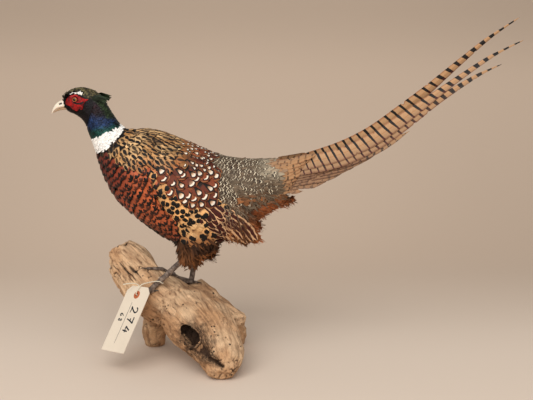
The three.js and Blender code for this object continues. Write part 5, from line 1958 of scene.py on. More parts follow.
def make_driftwood(colours, sizes):
    """The driftwood, grooved and cracked along its grain, on the same feet as its solid."""
    points, quads, normals = remeshed(["driftwood"], voxel=1.25, smoothing=5)
    grain = Grain(points)
    broad = grain.wobble(0.13, 1)
    ridges = grain.wobble(0.34, 2)
    furrows = np.maximum(0, 1 - np.abs(grain.wobble(0.2, 6)) * 2.2) ** 3
    patchy = smoothstep(wobble(points, 0.03, 7), -0.15, 0.2)
    cracks = np.abs(grain.wobble(0.22, 3) + 0.06 + 0.08 * wobble(points, 0.05, 9))
    lumps = wobble(points, 0.032, 4)
    pits = np.maximum(0, wobble(points, 0.16, 5) - 0.38)
    arm = smoothstep(points[:, 0], -62, -100)
    lobe = smoothstep(points[:, 2], 46, 24) * smoothstep(points[:, 1], -70, -95)
    open_crack = smoothstep((0.022 + 0.05 * arm + 0.03 * lobe) * patchy - cracks, -0.012, 0.02)
    hollow, scorched = rot_hollow(points, normals)
    knob = mound(points[:, 0], points[:, 2], -11, 86, 15, 8, 2) * smoothstep(normals[:, 1], 0.1, -0.3)
    height = 2.6 * broad + 1.3 * ridges + 2.4 * lumps - 1.5 * furrows * (0.4 + 0.9 * arm)
    height = height * (1 - 0.7 * knob) + 2.2 * knob - 3.0 * open_crack - 4.0 * pits - 5.5 * hollow
    height = height * sizes.grain_depth
    calm = np.ones(len(points))
    for _, foot in LEGS.values():
        calm *= smoothstep(np.linalg.norm((points - np.array(foot)) * [0.55, 1, 1], axis=1), 13, 26)
    height = height * (0.12 + 0.88 * calm)
    low = smoothstep(points[:, 2], 0.5, 7)
    moved = points + normals * (height * low)[:, None]
    moved[:, 2] = np.maximum(moved[:, 2], 0)
    attributes = {
        "crack": open_crack * (0.2 + 0.8 * calm),
        "hollow": hollow,
        "furrow": furrows,
        "scorched": scorched,
        "knob": knob,
    }
    material = wood_finish("driftwood", colours)
    piece = mesh_piece("weathered_driftwood", moved, [quads], material, "wood", None, attributes)
    vectors = piece.data.attributes.new("grain", "FLOAT_VECTOR", "POINT")
    vectors.data.foreach_set("vector", grain.vectors().astype(np.float32).ravel())
    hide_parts("driftwood")


# ------------------------------------------------------------------- the tag

CARD = {
    "top": np.array([-80, -43, 118.0]),
    "down": unit(np.array([-37, -48.7, -83.7])),
    "across": unit(np.array([36.8, -39, 6.4])),
    "width": 54, "length": 105, "thickness": 0.8, "corner": 8.5, "hole": 13.5, "hole_radius": 3.4,
}
CARD["across"] = unit(CARD["across"] - CARD["down"] * (CARD["across"] @ CARD["down"]))
CARD["face"] = np.cross(CARD["down"], CARD["across"])
CARD["face"] = CARD["face"] * (-1 if CARD["face"][1] > 0 else 1)

# How far apart the card's points lie, and the steps round its hole and round the eyelet.
CARD_STEP = 3.0
HOLE_STEPS = 36
EYELET_STEPS = 64


def on_card(across, down, height):
    """A place on the card: across from its middle, down from its top edge and out from its mid plane."""
    across, down, height = (np.asarray(v, dtype=float) for v in (across, down, height))
    curl = 1.1 * smoothstep(down, 30, 105) * (across / 27) ** 2
    flat = (
        across[..., None] * CARD["across"] + down[..., None] * CARD["down"]
        + (height + curl)[..., None] * CARD["face"]
    )
    return CARD["top"] + flat


def make_card(colours):
    """The paper card with its clipped upper corners and its hole."""
    half, length, corner = CARD["width"] / 2, CARD["length"], CARD["corner"]
    corners = [
        (-half + corner, 0), (half - corner, 0), (half, corner),
        (half, length), (-half, length), (-half, corner),
    ]
    outline = []
    for (ax, ay), (bx, by) in zip(corners, corners[1:] + corners[:1]):
        steps = max(1, round(math.hypot(bx - ax, by - ay) / CARD_STEP))
        outline += [(ax + (bx - ax) * i / steps, ay + (by - ay) * i / steps) for i in range(steps)]
    hole = [
        (CARD["hole_radius"] * math.cos(a), CARD["hole"] + CARD["hole_radius"] * math.sin(a))
        for a in -np.arange(HOLE_STEPS) * TAU / HOLE_STEPS
    ]
    inner = [
        (x, y) for x in np.arange(-24, 25, CARD_STEP) for y in np.arange(2, 104, 3.4)
        if math.hypot(x, y - CARD["hole"]) > 5.5 and abs(x) + max(0, corner - y) < half - 1.5
    ]
    flat = outline + hole + inner
    m, n = len(outline), len(hole)
    edges = [(i, (i + 1) % m) for i in range(m)] + [(m + i, m + (i + 1) % n) for i in range(n)]
    flat_points, _, triangles, *_ = delaunay_2d_cdt([Vector(p) for p in flat], edges, [], 0, 1e-5)
    flat_points = np.array([tuple(p) for p in flat_points])
    middles = [flat_points[list(t)].mean(axis=0) for t in triangles]
    triangles = np.array([
        t for t, middle in zip(triangles, middles)
        if inside(outline, *middle) and not inside(hole, *middle)
    ])
    depth = CARD["thickness"] / 2
    count = len(flat_points)
    near = on_card(flat_points[:, 0], flat_points[:, 1], np.full(count, depth))
    far = on_card(flat_points[:, 0], flat_points[:, 1], np.full(count, -depth))
    if looks_against(near, triangles[0], CARD["face"]):
        triangles = triangles[:, ::-1]
    sides = {}
    for t in triangles:
        for i in range(3):
            sides[(t[i], t[(i + 1) % 3])] = True
    rims = np.array([e for e in sides if (e[1], e[0]) not in sides])
    walls = np.stack([rims[:, 1], rims[:, 0], rims[:, 0] + count, rims[:, 1] + count], axis=1)
    finish = Finish("card_stock", 0.85)
    place = finish.place()
    fibres = finish.noise(place, 900, 4.0, 0.7)
    blotch = finish.noise(place, 45, 3.0)
    finish.bump(fibres, 0.0003, 0.25)
    paper = finish.shade(colours.card, 0.9 + blotch * 0.12 + fibres * 0.08)
    sheets = np.vstack([triangles, triangles[:, ::-1] + count])
    piece = mesh_piece("paper_card", np.vstack([near, far]), [sheets, walls], finish.done(paper), "card",
                       sharp=CARD_CREASE)
    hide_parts("tag")


# Pen strokes of each figure, in a box one unit high.
DIGITS = {
    "2": (
        ((0, 0.76), (0.12, 0.96), (0.36, 1), (0.52, 0.8), (0.42, 0.52),
         (0.15, 0.18), (0, 0.02), (0.28, 0.07), (0.58, 0)),
    ),
    "7": (
        ((0, 0.9), (0.1, 0.99), (0.35, 0.95), (0.58, 1), (0.4, 0.55), (0.24, 0)),
        ((0.14, 0.5), (0.3, 0.53), (0.48, 0.51)),
    ),
    "4": (
        ((0.34, 1), (0.18, 0.66), (0.02, 0.38), (0.3, 0.37), (0.62, 0.4)),
        ((0.47, 0.78), (0.44, 0.4), (0.4, 0)),
    ),
    "6": (((0.46, 1), (0.16, 0.66), (0.02, 0.28), (0.2, 0), (0.48, 0.16), (0.38, 0.42), (0.08, 0.3)),),
    "8": (
        ((0.44, 0.84), (0.24, 1), (0.08, 0.8), (0.4, 0.34), (0.24, 0),
         (0.04, 0.2), (0.3, 0.55), (0.46, 0.82)),
    ),
}


def make_ink(colours, sizes):
    """Pen strokes on the card: a plain number, a ruled line and a smaller number."""
    parts = []

    def stroke(points, share):
        """One line of ink through points on the card."""
        width = share * sizes.pen_width / MM
        flat = spline(points, 12 * len(points))
        path = on_card(flat[:, 0], flat[:, 1], np.full(len(flat), CARD["thickness"] / 2 + 0.02))
        swell = width * (0.8 + 0.3 * np.sin(np.linspace(0.4, math.pi, len(flat))))
        shape, quads, caps = tube(path, swell / 2, 0.05, 8, up=CARD["face"])
        parts.append((shape, quads, caps, np.zeros(len(shape))))

    def write(text, down, across, height, advance, width):
        """A row of figures that runs down the card."""
        for number, digit in enumerate(text):
            for line in DIGITS[digit]:
                stroke([(across + y * height, down + advance * number + x * height) for x, y in line], width)

    write("274", 33, 1.0, 15.5, 15.5, 1.0)
    write("68", 45, -18.5, 8.0, 8.4, 0.64)
    stroke([(-3.4, 26), (-3.9, 45), (-4.2, 66), (-4.9, 92)], 0.36)
    points, quads, caps, _ = joined(parts)
    material = grained("pen_ink", colours.ink, 0.6, 400, 0.7, 0.7)
    mesh_piece("ink_strokes", points, [quads, caps], material, "card")


def make_eyelet(colours):
    """The fibre ring that strengthens the card's hole."""
    bore, barrel, flange, thick = 2.5, 3.05, 6.3, 0.45
    depth = CARD["thickness"] / 2
    top = depth + thick
    profile = [
        (bore, 0), (bore, top - 0.15), (bore + 0.15, top), (flange - 0.25, top), (flange, top - 0.2),
        (flange, depth + 0.05), (flange, depth + 0.02), (barrel, depth + 0.02),
        (barrel, -depth - 0.02), (flange, -depth - 0.02),
        (flange, -top + 0.2), (flange - 0.25, -top), (bore + 0.15, -top), (bore, -top + 0.15),
    ]
    turn = np.arange(EYELET_STEPS) * TAU / EYELET_STEPS
    rings = np.stack([
        on_card(r * np.cos(turn), CARD["hole"] + r * np.sin(turn), np.full(EYELET_STEPS, h))
        for r, h in profile
    ])
    quads = hoop_quads(len(profile), EYELET_STEPS)
    points = rings.reshape(-1, 3)
    if looks_against(points, quads[2 * EYELET_STEPS], CARD["face"]):
        quads = quads[:, ::-1]
    material = grained("fibre_ring", colours.eyelet, 0.7, 700, 0.65, 0.7, (0.0003, 0.3), 4.0, 0.7)
    piece = mesh_piece("fibre_ring", points, [quads], material, "eyelet", sharp=CARD_CREASE)
    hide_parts("tag_eyelet")


# How far each ply stands off the string's middle, in string radii, its turn's length, and
# the string's route from the eyelet round the shank to its bare end.
STRING_PLY = 0.48
STRING_TWIST = 4.6
STRING_POINTS = 420
PLY_SIDES = 8
STRING_UP = (0.0, -1.0, 0.35)
STRING_ROUTE = (
    (-53.8, -28.5, 128.3), (-51.4, -26.1, 124.6), (-48.8, -27.2, 121.1), (-47.7, -30.7, 119.8),
    (-49.0, -34.0, 120.8), (-52.0, -35.6, 123.6), (-58.6, -37.2, 124.4), (-67.4, -41.2, 124.0),
    (-76.6, -45.4, 122.4), (-81.9, -47.5, 118.4), (-84.5, -48.8, 113.9), (-86.1, -50.1, 109.7),
    (-84.9, -49.4, 106.9), (-82.4, -47.2, 106.9), (-81.3, -43.7, 109.7), (-81.7, -39.7, 113.9),
    (-84.0, -37.4, 118.9), (-90.0, -38.8, 121.8), (-98.0, -41.0, 122.2), (-106.0, -42.0, 121.0),
)


def make_string(colours, sizes):
    """The tag's cotton string, of two twisted plies."""
    radius = sizes.string_radius / MM
    path = spline(STRING_ROUTE, STRING_POINTS)
    far = lengths_along(path)
    sides, ups = frames_along(path, np.tile(STRING_UP, (len(path), 1)))
    parts = []
    for ply in (0, math.pi):
        twist = far * TAU / STRING_TWIST + ply
        offset = sides * np.cos(twist)[:, None] + ups * np.sin(twist)[:, None]
        shape, quads, caps = tube(
            path + offset * radius * STRING_PLY, radius / 1.5, radius / 1.5, PLY_SIDES, up=STRING_UP
        )
        parts.append((shape, quads, caps, np.repeat(far / 100, PLY_SIDES)))
    points, quads, caps, reach = joined(parts)
    turn = np.tile(np.arange(PLY_SIDES) / PLY_SIDES, len(points) // PLY_SIDES)
    finish = Finish("cotton_string", 0.9, Sheen_Weight=0.2)
    run, around = finish.uv("ply")
    strands = finish.noise(finish.vector(run * 160 + around * 6, around * 12), 2.0, 3.0)
    finish.bump(strands, 0.0003, 0.5)
    material = finish.done(finish.shade(colours.string, 0.72 + strands * 0.45))
    piece = mesh_piece(
        "string", points, [quads, caps], material, "string", {"ply": np.stack([reach, turn], axis=1)}
    )
    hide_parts("tag_string")


def make_tail_coverts(colours):
    """Long loose feathers that run from the rump over the root of the tail."""
    rng = np.random.default_rng(SEEDS["coverts"])
    bird = body()
    stations, turns = bird.lattice(17.8, 20.6, 4.4, 4.2, rng, 0.35)
    roots = bird.at(stations, turns)
    x, y, z = roots.T
    keep = z > 244 + 5 * rng.random(len(z))
    stations, turns, roots = stations[keep], turns[keep], roots[keep]
    x, y, z = roots.T
    count = len(roots)
    inwards = -0.16 * np.sign(y) * smoothstep(np.abs(y), 3, 18)
    lies = np.stack([1 + 0 * x, inwards, np.interp(z, [245, 300], [-0.12, 0.0])], axis=1)
    lies = lies + rng.normal(0, 0.08, lies.shape)
    upper = smoothstep(z, 270, 292)
    lengths = rng.uniform(20, 30, count) * (0.8 + 0.3 * upper)
    widths = rng.uniform(4.0, 7.0, count)
    points = lay_vanes(HAIRY, bird.surface, roots, lies, lengths, widths, rng, depth=3.0,
                       lift=rng.uniform(0.2, 2.0, count), camber=0.14, sweep=0.1, cling=0.3, rough=0.1)
    ground, _ = plumage_ground(np.full(count, "rump", dtype=object), roots + lies * 20, stations, colours)
    rufous = smoothstep(z + 4 * rng.normal(0, 1, count), 287, 297) * smoothstep(x, 84, 104)
    rufous = rufous + 0.7 * smoothstep(z + 4 * rng.normal(0, 1, count), 258, 248)
    ground = towards(ground, colours.fluff_rufous, np.clip(rufous, 0, 1))
    material = plain_feather("tail_covert", roughness=0.75)
    ground = ground * rng.uniform(0.7, 1.3, (count, 1))
    return coat_piece(
        "tail_coverts", HAIRY, points, stations, turns, ground, rng.random(count), material, "rump"
    )


# How many feathers cover each side of the tail's root, and the points along each one.
ROOT_COUNT = 9
ROOT_POINTS = 36


def make_tail_roots(side, sign, colours):
    """Barred feathers that cover the joint between the rump and one side of the tail."""
    rng = np.random.default_rng(SEEDS["roots"] + sign)
    bird = body()
    plumes, tones = [], []
    for number in range(ROOT_COUNT):
        low = number / (ROOT_COUNT - 1)
        root = np.array([106 - 6 * low, sign * 60.0, 296 - 42 * low])
        hit, _ = bird.surface.first_hit([root], [(0, -sign, 0)])
        root = hit[0] - [0, sign * 1.5, 0]
        tip_x = 176 - 22 * low + rng.normal(0, 3)
        tip = np.array([tip_x, sign * (5.5 + 2.5 * low), 302 - 38 * low + 0.28 * (tip_x - 150)])
        middle = (root + tip) / 2 + [0, sign * (3.4 - 1.0 * low), -1.5]
        centres = spline([root, middle, tip], ROOT_POINTS)
        sides, ups = frames_along(centres, np.tile([0.0, sign * 1.0, 0.25], (ROOT_POINTS, 1)))
        far = lengths_along(centres)
        v = far / far[-1]
        half = (5.6 + 0.8 * low) * tapered(v, 0.55, 0.35, 0.22)
        left, right = half * nicked(ROOT_POINTS, rng, 0.03, 2), half * nicked(ROOT_POINTS, rng, 0.03, 2)
        plumes.append((long_vane(centres, sides, ups, left, right, camber=0.1, shaft=0.3), far / 100))
        tones.append(rng.random())
    material = tail_finish(f"tail_root_{side}", colours)
    return plume_piece(f"tail_roots_{side}", plumes, tones, material, "tail", left=3.0, outer=0.3, up=-sign)


# ---------------------------------------------------------------- the studio

# The paper's half width and front edge. Its bend starts this far behind the middle of the
# mount, with this radius. It turns up just far enough to fill the camera's view, and stays
# below the view from behind.
BACKDROP_HALF = 8.0
BACKDROP_FRONT = -9.0
BEND_START = 0.5
BEND_RADIUS = 1.2
BEND_TURN = 1.0
BEND_STEPS = 32
SENSOR_WIDTH = 36

# Each lamp's name, place, target and size in metres. How strong it is, is a setting.
LAMPS = (
    ("key", (-0.85, -2.1, 1.9), (0, 0, 0.25), (2.6, 2.4)),
    ("fill", (1.2, -2.2, 1.5), (0, 0, 0.25), (2.6, 2.2)),
    ("top", (0.1, -1.3, 2.5), (0, 0, 0.1), (3.2, 2.6)),
)


def paper_finish(studio):
    """Pale matt paper with painted shade: darker where the light falls away, with a painted pool of light
    behind the mount.
    """
    finish = Finish("backdrop_paper", 0.9)
    parts = finish.node("ShaderNodeSeparateXYZ", {0: finish.place()}).outputs
    x, y, z = (Value(finish, part) for part in parts)
    # Painted light: a pool of light low down in the middle behind the mount.
    middle = finish.step(finish.size(x + 0.12), 0.7, 0.1)
    # Painted shade: darker further back, higher up the bend and towards the sides.
    painted_shade = finish.step(y, -0.02, 0.5) * 0.15 - finish.step(z, 0.05, 0.3) * 0.04
    painted_shade = painted_shade + finish.step(z, 0.26, 0.46) * 0.15
    painted_shade = painted_shade - middle * finish.step(y, 0.1, 0.45) * finish.step(z, 0.3, 0.0) * 0.12
    painted_shade = painted_shade + finish.step(finish.size(x), 0.12, 0.75) * finish.step(z, 0.05, 0.4) * 0.05
    # The wall's colour is the same paper as the floor in painted shade.
    tone = finish.mix(finish.step(y, 0.0, 0.7), studio.floor, studio.wall_in_shade)
    return finish.done(finish.shade(tone, 1.0 - painted_shade))


def make_backdrop(studio):
    """A sheet of paper that bends up behind the mount."""
    turns = np.linspace(0, BEND_TURN, BEND_STEPS + 1)
    bend = np.stack([BEND_START + BEND_RADIUS * np.sin(turns), BEND_RADIUS * (1 - np.cos(turns))], axis=1)
    line = np.concatenate([[(BACKDROP_FRONT, 0)], bend])
    count = len(line)
    points = [(x, y, z) for x in (-BACKDROP_HALF, BACKDROP_HALF) for y, z in line]
    faces = [(i, i + count, i + count + 1, i + 1) for i in range(count - 1)]
    mesh = bpy.data.meshes.new("backdrop")
    mesh.from_pydata(points, [], faces)
    mesh.shade_smooth()
    mesh.materials.append(paper_finish(studio))
    backdrop = bpy.data.objects.new("backdrop", mesh)
    bpy.context.scene.collection.objects.link(backdrop)


def add_light(name, place, target, size, watts):
    """A rectangular lamp that looks at a target."""
    lamp = bpy.data.lights.new(name, "AREA")
    lamp.shape = "RECTANGLE"
    lamp.size, lamp.size_y = size
    lamp.energy = watts
    piece = bpy.data.objects.new(name, lamp)
    piece.location = place
    piece.rotation_euler = (Vector(target) - Vector(place)).to_track_quat("-Z", "Y").to_euler()
    bpy.context.scene.collection.objects.link(piece)


def make_studio(studio):
    """The backdrop, three soft lights, the sky's fill and the camera."""
    scene = bpy.context.scene
    make_backdrop(studio)
    for name, place, target, size in LAMPS:
        add_light(name, place, target, size, getattr(studio, name + "_power"))
    world = bpy.data.worlds.new("studio")
    world.use_nodes = True
    sky = world.node_tree.nodes["Background"].inputs
    sky[0].default_value = (*studio.sky, 1)
    sky[1].default_value = studio.sky_strength
    scene.world = world
    lens = bpy.data.cameras.new("camera")
    lens.lens = studio.focal_length
    lens.sensor_width = SENSOR_WIDTH
    camera = bpy.data.objects.new("camera", lens)
    camera.location = to_frame(studio.camera_place)
    camera.rotation_euler = (studio.camera_pitch, 0, 0)
    scene.collection.objects.link(camera)
    scene.camera = camera
    scene.view_settings.view_transform = "Standard"


# ---------------------------------------------------------------- the settings

def colour(name, description, code):
    """A colour property whose default is a display colour's six hexadecimal digits."""
    return bpy.props.FloatVectorProperty(
        name=name, description=description, default=paint(code), subtype="COLOR", size=3, min=0.0, max=1.0)


def factor(name, description, default, low=0.2, high=2.0):
    """A plain multiplier."""
    return bpy.props.FloatProperty(
        name=name, description=description, default=default, min=low, max=high, subtype="FACTOR")


def power(name, description, default):
    """A lamp's power."""
    return bpy.props.FloatProperty(
        name=name, description=description, default=default, min=0.0, unit="POWER")


class PheasantPlumage(bpy.types.PropertyGroup):
    """The colours of the bird, its driftwood and its tag."""

    black: colour("Black", "Spots, bars and fringes", "0C0908")
    cream: colour("Cream", "Drops on the back and pale quill edges", "EFE4D2")
    gold: colour("Gold", "Mantle feathers", "B07C46")
    gold_pale: colour("Pale Gold", "Lightest mantle and flank feathers", "E0B884")
    copper: colour("Copper", "Breast feathers near the throat", "7A3020")
    copper_bright: colour("Bright Copper", "Breast feathers in full light", "B45C34")
    maroon: colour("Maroon", "Shaded breast feathers", "3E1618")
    chestnut: colour("Chestnut", "Feathers of the back", "45150A")
    flank: colour("Flank", "Spotted feathers of the flanks", "DBA569")
    rump_grey: colour("Rump Grey", "Hairy feathers of the rump", "6C5C4A")
    rump_olive: colour("Rump Olive", "Darker feathers of the rump", "594735")
    rump_pale: colour("Rump Rings", "Pale rings on the rump's feathers", "D8CAAE")
    crown: colour("Crown", "Olive feathers on top of the head", "6C6140")
    nape_green: colour("Nape", "Green at the back of the neck", "2A3820")
    neck_purple: colour("Upper Neck", "Purple black behind the wattle", "1A1018")
    neck_blue: colour("Neck", "Glossy blue of the neck", "1B2F54")
    neck_green: colour("Lower Neck", "Glossy green above the white ring", "16453C")
    collar: colour("Neck Ring", "White feathers of the neck ring and brow", "F1EEE9")
    fluff_dark: colour("Belly Down", "Dark strands on the belly and thighs", "1E120B")
    fluff_rufous: colour("Thigh Down", "Rufous strands on the thighs and vent", "8A5630")
    undertail: colour("Undertail", "Feathers under the tail's root", "9C5228")
    tail_buff: colour("Tail", "Ground of the long tail feathers", "BA8F66")
    tail_bar: colour("Tail Bars", "Bars across the tail feathers", "080605")
    tail_fringe: colour("Tail Fringe", "Loose fringes of the tail feathers", "905E3E")
    tail_shaft: colour("Tail Shafts", "Shafts of the tail feathers", "9E6430")
    quill_dark: colour("Wing Quills", "Dark middles of the wing feathers", "380F08")
    quill_edge: colour("Quill Edges", "Pale edges of the wing feathers", "D0A278")
    wattle: colour("Wattle", "Bare red skin round the eye", "A80F0D")
    # Painted shade in the wattle's folds and patches; also mixed into the eyelids' own darker red.
    wattle_dark: colour("Wattle Folds", "Folds and pits of the wattle", "2E0508")
    amber: colour("Iris", "Amber of the glass eyes", "BC8014")
    bill: colour("Bill", "Pale horn of the bill", "E2D6C2")
    bill_edge: colour("Bill Edge", "Darker horn at the bill's edges", "A57C54")
    leg: colour("Legs", "Scales of the legs and toes", "8A786A")
    leg_dark: colour("Leg Seams", "Seams between the scales", "4C3E36")
    claw: colour("Claws", "Dark horn of the claws", "2E2722")
    wood: colour("Driftwood", "Weathered wood", "BC9068")
    wood_dark: colour("Dark Grain", "Dark grain and stains in the wood", "664630")
    wood_pale: colour("Pale Grain", "Bleached parts of the wood", "DDB992")
    card: colour("Card", "Paper of the tag", "DACCB8")
    ink: colour("Ink", "Pen strokes on the tag", "1E2228")
    eyelet: colour("Eyelet", "Fibre ring round the tag's hole", "B0603C")
    string: colour("String", "Cotton string of the tag", "DDD2BC")


class PheasantSizes(bpy.types.PropertyGroup):
    """How long, wide and deep the made details are."""

    feather_length: factor("Feather Length", "Length of the body's feathers against their usual length", 1.0)
    feather_width: factor("Feather Width", "Width of the body's feathers against their usual width", 1.0)
    feather_lift: factor("Feather Lift", "How far the feathers' tips stand off the body", 1.0)
    down_length: factor("Down Length", "Length of the soft strands on the thighs and under the tail", 1.0)
    grain_depth: factor("Grain Depth", "Depth of the furrows and cracks in the driftwood", 1.0, 0.0, 1.5)
    pen_width: bpy.props.FloatProperty(
        name="Pen Width", description="Width of the widest pen strokes on the tag", default=0.0022,
        min=0.0005, max=0.005, precision=4, subtype="DISTANCE", unit="LENGTH")
    string_radius: bpy.props.FloatProperty(
        name="String Radius", description="Half the thickness of the tag's string",
        default=0.00075, min=0.0003, max=0.002, precision=5, subtype="DISTANCE", unit="LENGTH")


class PheasantStudio(bpy.types.PropertyGroup):
    """The backdrop, the lights and the camera."""

    floor: colour("Floor", "Backdrop paper under the mount", "D6C5B4")
    # The same paper as the floor, painted darker as shade.
    wall_in_shade: colour("Wall", "Backdrop paper behind the mount", "D1BBA6")
    sky: colour("Sky", "Soft light from all round", "E4DFDA")
    sky_strength: factor("Sky Strength", "Strength of the light from all round", 0.6, 0.0, 2.0)
    key_power: power("Key Light", "Power of the main light on the left", 65.0)
    fill_power: power("Fill Light", "Power of the softer light on the right", 11.0)
    top_power: power("Top Light", "Power of the light overhead", 10.0)
    focal_length: bpy.props.FloatProperty(
        name="Focal Length", description="Focal length of the camera", default=85.55, min=10.0, unit="CAMERA")
    camera_pitch: bpy.props.FloatProperty(
        name="Camera Pitch", description="Camera's turn about X, where a right angle looks level",
        default=math.radians(78), subtype="ANGLE", unit="ROTATION")
    camera_place: bpy.props.FloatVectorProperty(
        name="Camera Place", description="Camera's place in the shapes' own millimetres",
        default=(107.25, -1858.5, 635.6), size=3, subtype="XYZ")


# ---------------------------------------------------------------- the add-on

class PHEASANT_OT_studio(bpy.types.Operator):
    """Set up the backdrop, the lights and the camera"""

    bl_idname = "pheasant.studio"
    bl_label = "Studio"

    def execute(self, context):
        make_studio(context.scene.pheasant_studio)
        return {"FINISHED"}


class PHEASANT_OT_string(bpy.types.Operator):
    """Twist the tag's string round the near leg"""

    bl_idname = "pheasant.string"
    bl_label = "Tag String"

    def execute(self, context):
        make_string(context.scene.pheasant_colours, context.scene.pheasant_sizes)
        return {"FINISHED"}


class PHEASANT_OT_skin(bpy.types.Operator):
    """Build the skin that carries the plumage"""

    bl_idname = "pheasant.skin"
    bl_label = "Skin"

    def execute(self, context):
        make_skin(context.scene.pheasant_colours)
        return {"FINISHED"}


class PHEASANT_OT_plumage(bpy.types.Operator):
    """Lay the feathers of the head, the neck and the body over the skin"""

    bl_idname = "pheasant.plumage"
    bl_label = "Plumage"

    def execute(self, context):
        for seed, part in enumerate(COATS):
            lay_coat(part, context.scene.pheasant_colours, context.scene.pheasant_sizes, seed)
        return {"FINISHED"}


class PHEASANT_OT_tail(bpy.types.Operator):
    """Lay the eighteen barred tail feathers"""

    bl_idname = "pheasant.tail"
    bl_label = "Tail Feathers"

    def execute(self, context):
        make_tail(context.scene.pheasant_colours)
        return {"FINISHED"}


class PHEASANT_OT_eyes(bpy.types.Operator):
    """Set the glass eyes"""

    bl_idname = "pheasant.eyes"
    bl_label = "Eyes"

    def execute(self, context):
        for side, sign in SIDES:
            make_eye(side, sign, context.scene.pheasant_colours)
        return {"FINISHED"}


class PHEASANT_OT_wattles(bpy.types.Operator):
    """Shape the bare red skin round the eyes"""

    bl_idname = "pheasant.wattles"
    bl_label = "Wattles"

    def execute(self, context):
        for side, sign in SIDES:
            make_wattle(side, sign, context.scene.pheasant_colours)
            make_eyelids(side, sign, context.scene.pheasant_colours)
        return {"FINISHED"}


class PHEASANT_OT_ear_tufts(bpy.types.Operator):
    """Lay the raised tufts behind the eyes"""

    bl_idname = "pheasant.ear_tufts"
    bl_label = "Ear Tufts"

    def execute(self, context):
        for side, sign in SIDES:
            make_ear_tuft(side, sign, context.scene.pheasant_colours)
        return {"FINISHED"}


class PHEASANT_OT_legs(bpy.types.Operator):
    """Build the scaled legs and toes"""

    bl_idname = "pheasant.legs"
    bl_label = "Legs"

    def execute(self, context):
        for side, sign in SIDES:
            make_leg(side, sign, context.scene.pheasant_colours)
        return {"FINISHED"}


class PHEASANT_OT_bill(bpy.types.Operator):
    """Build both mandibles"""

    bl_idname = "pheasant.bill"
    bl_label = "Bill"

    def execute(self, context):
        make_bill(context.scene.pheasant_colours)
        return {"FINISHED"}


class PHEASANT_OT_claws(bpy.types.Operator):
    """Build the claws"""

    bl_idname = "pheasant.claws"
    bl_label = "Claws"

    def execute(self, context):
        make_claws(context.scene.pheasant_colours)
        return {"FINISHED"}


class PHEASANT_OT_driftwood(bpy.types.Operator):
    """Carve the weathered driftwood"""

    bl_idname = "pheasant.driftwood"
    bl_label = "Driftwood"

    def execute(self, context):
        make_driftwood(context.scene.pheasant_colours, context.scene.pheasant_sizes)
        return {"FINISHED"}


class PHEASANT_OT_card(bpy.types.Operator):
    """Cut the tag's card"""

    bl_idname = "pheasant.card"
    bl_label = "Card"

    def execute(self, context):
        make_card(context.scene.pheasant_colours)
        return {"FINISHED"}


class PHEASANT_OT_ink(bpy.types.Operator):
    """Write on the tag"""

    bl_idname = "pheasant.ink"
    bl_label = "Ink"

    def execute(self, context):
        make_ink(context.scene.pheasant_colours, context.scene.pheasant_sizes)
        return {"FINISHED"}


class PHEASANT_OT_eyelet(bpy.types.Operator):
    """Set the ring in the tag's hole"""

    bl_idname = "pheasant.eyelet"
    bl_label = "Eyelet"

    def execute(self, context):
        make_eyelet(context.scene.pheasant_colours)
        return {"FINISHED"}


class PHEASANT_OT_quills(bpy.types.Operator):
    """Fan the wings' flight feathers"""

    bl_idname = "pheasant.quills"
    bl_label = "Wing Quills"

    def execute(self, context):
        for side, sign in SIDES:
            make_quills(side, sign, context.scene.pheasant_colours)
        return {"FINISHED"}


class PHEASANT_OT_fluff(bpy.types.Operator):
    """Lay the soft strands on the thighs, the belly and under the tail"""

    bl_idname = "pheasant.fluff"
    bl_label = "Down"

    def execute(self, context):
        make_fluff(context.scene.pheasant_colours, context.scene.pheasant_sizes)
        return {"FINISHED"}


class PHEASANT_OT_hairs(bpy.types.Operator):
    """Hang the loose strands under the rump and the thighs"""

    bl_idname = "pheasant.hairs"
    bl_label = "Loose Strands"

    def execute(self, context):
        make_hairs(context.scene.pheasant_colours, context.scene.pheasant_sizes)
        return {"FINISHED"}


class PHEASANT_OT_tail_coverts(bpy.types.Operator):
    """Lay the loose feathers that run from the rump over the tail's root"""

    bl_idname = "pheasant.tail_coverts"
    bl_label = "Tail Coverts"

    def execute(self, context):
        make_tail_coverts(context.scene.pheasant_colours)
        return {"FINISHED"}


class PHEASANT_OT_tail_roots(bpy.types.Operator):
    """Lay the feathers that hide the tail's root"""

    bl_idname = "pheasant.tail_roots"
    bl_label = "Tail Roots"

    def execute(self, context):
        for side, sign in SIDES:
            make_tail_roots(side, sign, context.scene.pheasant_colours)
        return {"FINISHED"}


class PHEASANT_PT_sidebar(bpy.types.Panel):
    """Lists the pieces to build and the settings they are built with"""

    bl_idname = "PHEASANT_PT_sidebar"
    bl_label = "Mounted Pheasant"
    bl_space_type = "VIEW_3D"
    bl_region_type = "UI"
    bl_category = "Pheasant"

    def draw(self, context):
        layout = self.layout
        pieces = layout.box()
        pieces.label(text="Pieces")
        for step in STEPS:
            pieces.operator(step.bl_idname)
        scene = context.scene
        for title, group in (
            ("Colours", scene.pheasant_colours),
            ("Sizes", scene.pheasant_sizes),
            ("Studio", scene.pheasant_studio),
        ):
            box = layout.box()
            box.label(text=title)
            for key in group.bl_rna.properties.keys():
                if key not in ("rna_type", "name"):
                    box.prop(group, key)


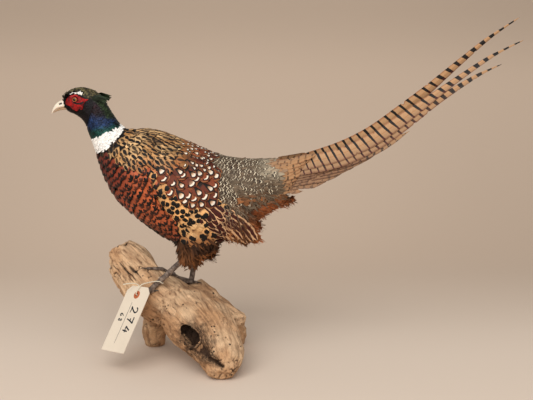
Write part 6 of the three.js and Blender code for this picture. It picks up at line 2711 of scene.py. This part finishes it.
STEPS = (
    PHEASANT_OT_studio,
    PHEASANT_OT_string,
    PHEASANT_OT_skin,
    PHEASANT_OT_plumage,
    PHEASANT_OT_tail,
    PHEASANT_OT_eyes,
    PHEASANT_OT_wattles,
    PHEASANT_OT_ear_tufts,
    PHEASANT_OT_legs,
    PHEASANT_OT_bill,
    PHEASANT_OT_claws,
    PHEASANT_OT_driftwood,
    PHEASANT_OT_card,
    PHEASANT_OT_ink,
    PHEASANT_OT_eyelet,
    PHEASANT_OT_quills,
    PHEASANT_OT_fluff,
    PHEASANT_OT_hairs,
    PHEASANT_OT_tail_coverts,
    PHEASANT_OT_tail_roots,
)
GROUPS = {
    "pheasant_colours": PheasantPlumage,
    "pheasant_sizes": PheasantSizes,
    "pheasant_studio": PheasantStudio,
}
CLASSES = (*GROUPS.values(), *STEPS, PHEASANT_PT_sidebar)


def register():
    """Register the classes and give the scene its settings."""
    for item in CLASSES:
        bpy.utils.register_class(item)
    for name, group in GROUPS.items():
        setattr(bpy.types.Scene, name, bpy.props.PointerProperty(type=group))


def unregister():
    """Take back everything that register added."""
    for name in GROUPS:
        delattr(bpy.types.Scene, name)
    for item in reversed(CLASSES):
        bpy.utils.unregister_class(item)


def main():
    """Register the add-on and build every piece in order."""
    register()
    bpy.ops.pheasant.studio()
    bpy.ops.pheasant.string()
    bpy.ops.pheasant.skin()
    bpy.ops.pheasant.plumage()
    bpy.ops.pheasant.tail()
    bpy.ops.pheasant.eyes()
    bpy.ops.pheasant.wattles()
    bpy.ops.pheasant.ear_tufts()
    bpy.ops.pheasant.legs()
    bpy.ops.pheasant.bill()
    bpy.ops.pheasant.claws()
    bpy.ops.pheasant.driftwood()
    bpy.ops.pheasant.card()
    bpy.ops.pheasant.ink()
    bpy.ops.pheasant.eyelet()
    bpy.ops.pheasant.quills()
    bpy.ops.pheasant.fluff()
    bpy.ops.pheasant.hairs()
    bpy.ops.pheasant.tail_coverts()
    bpy.ops.pheasant.tail_roots()


if __name__ == "__main__":
    main()
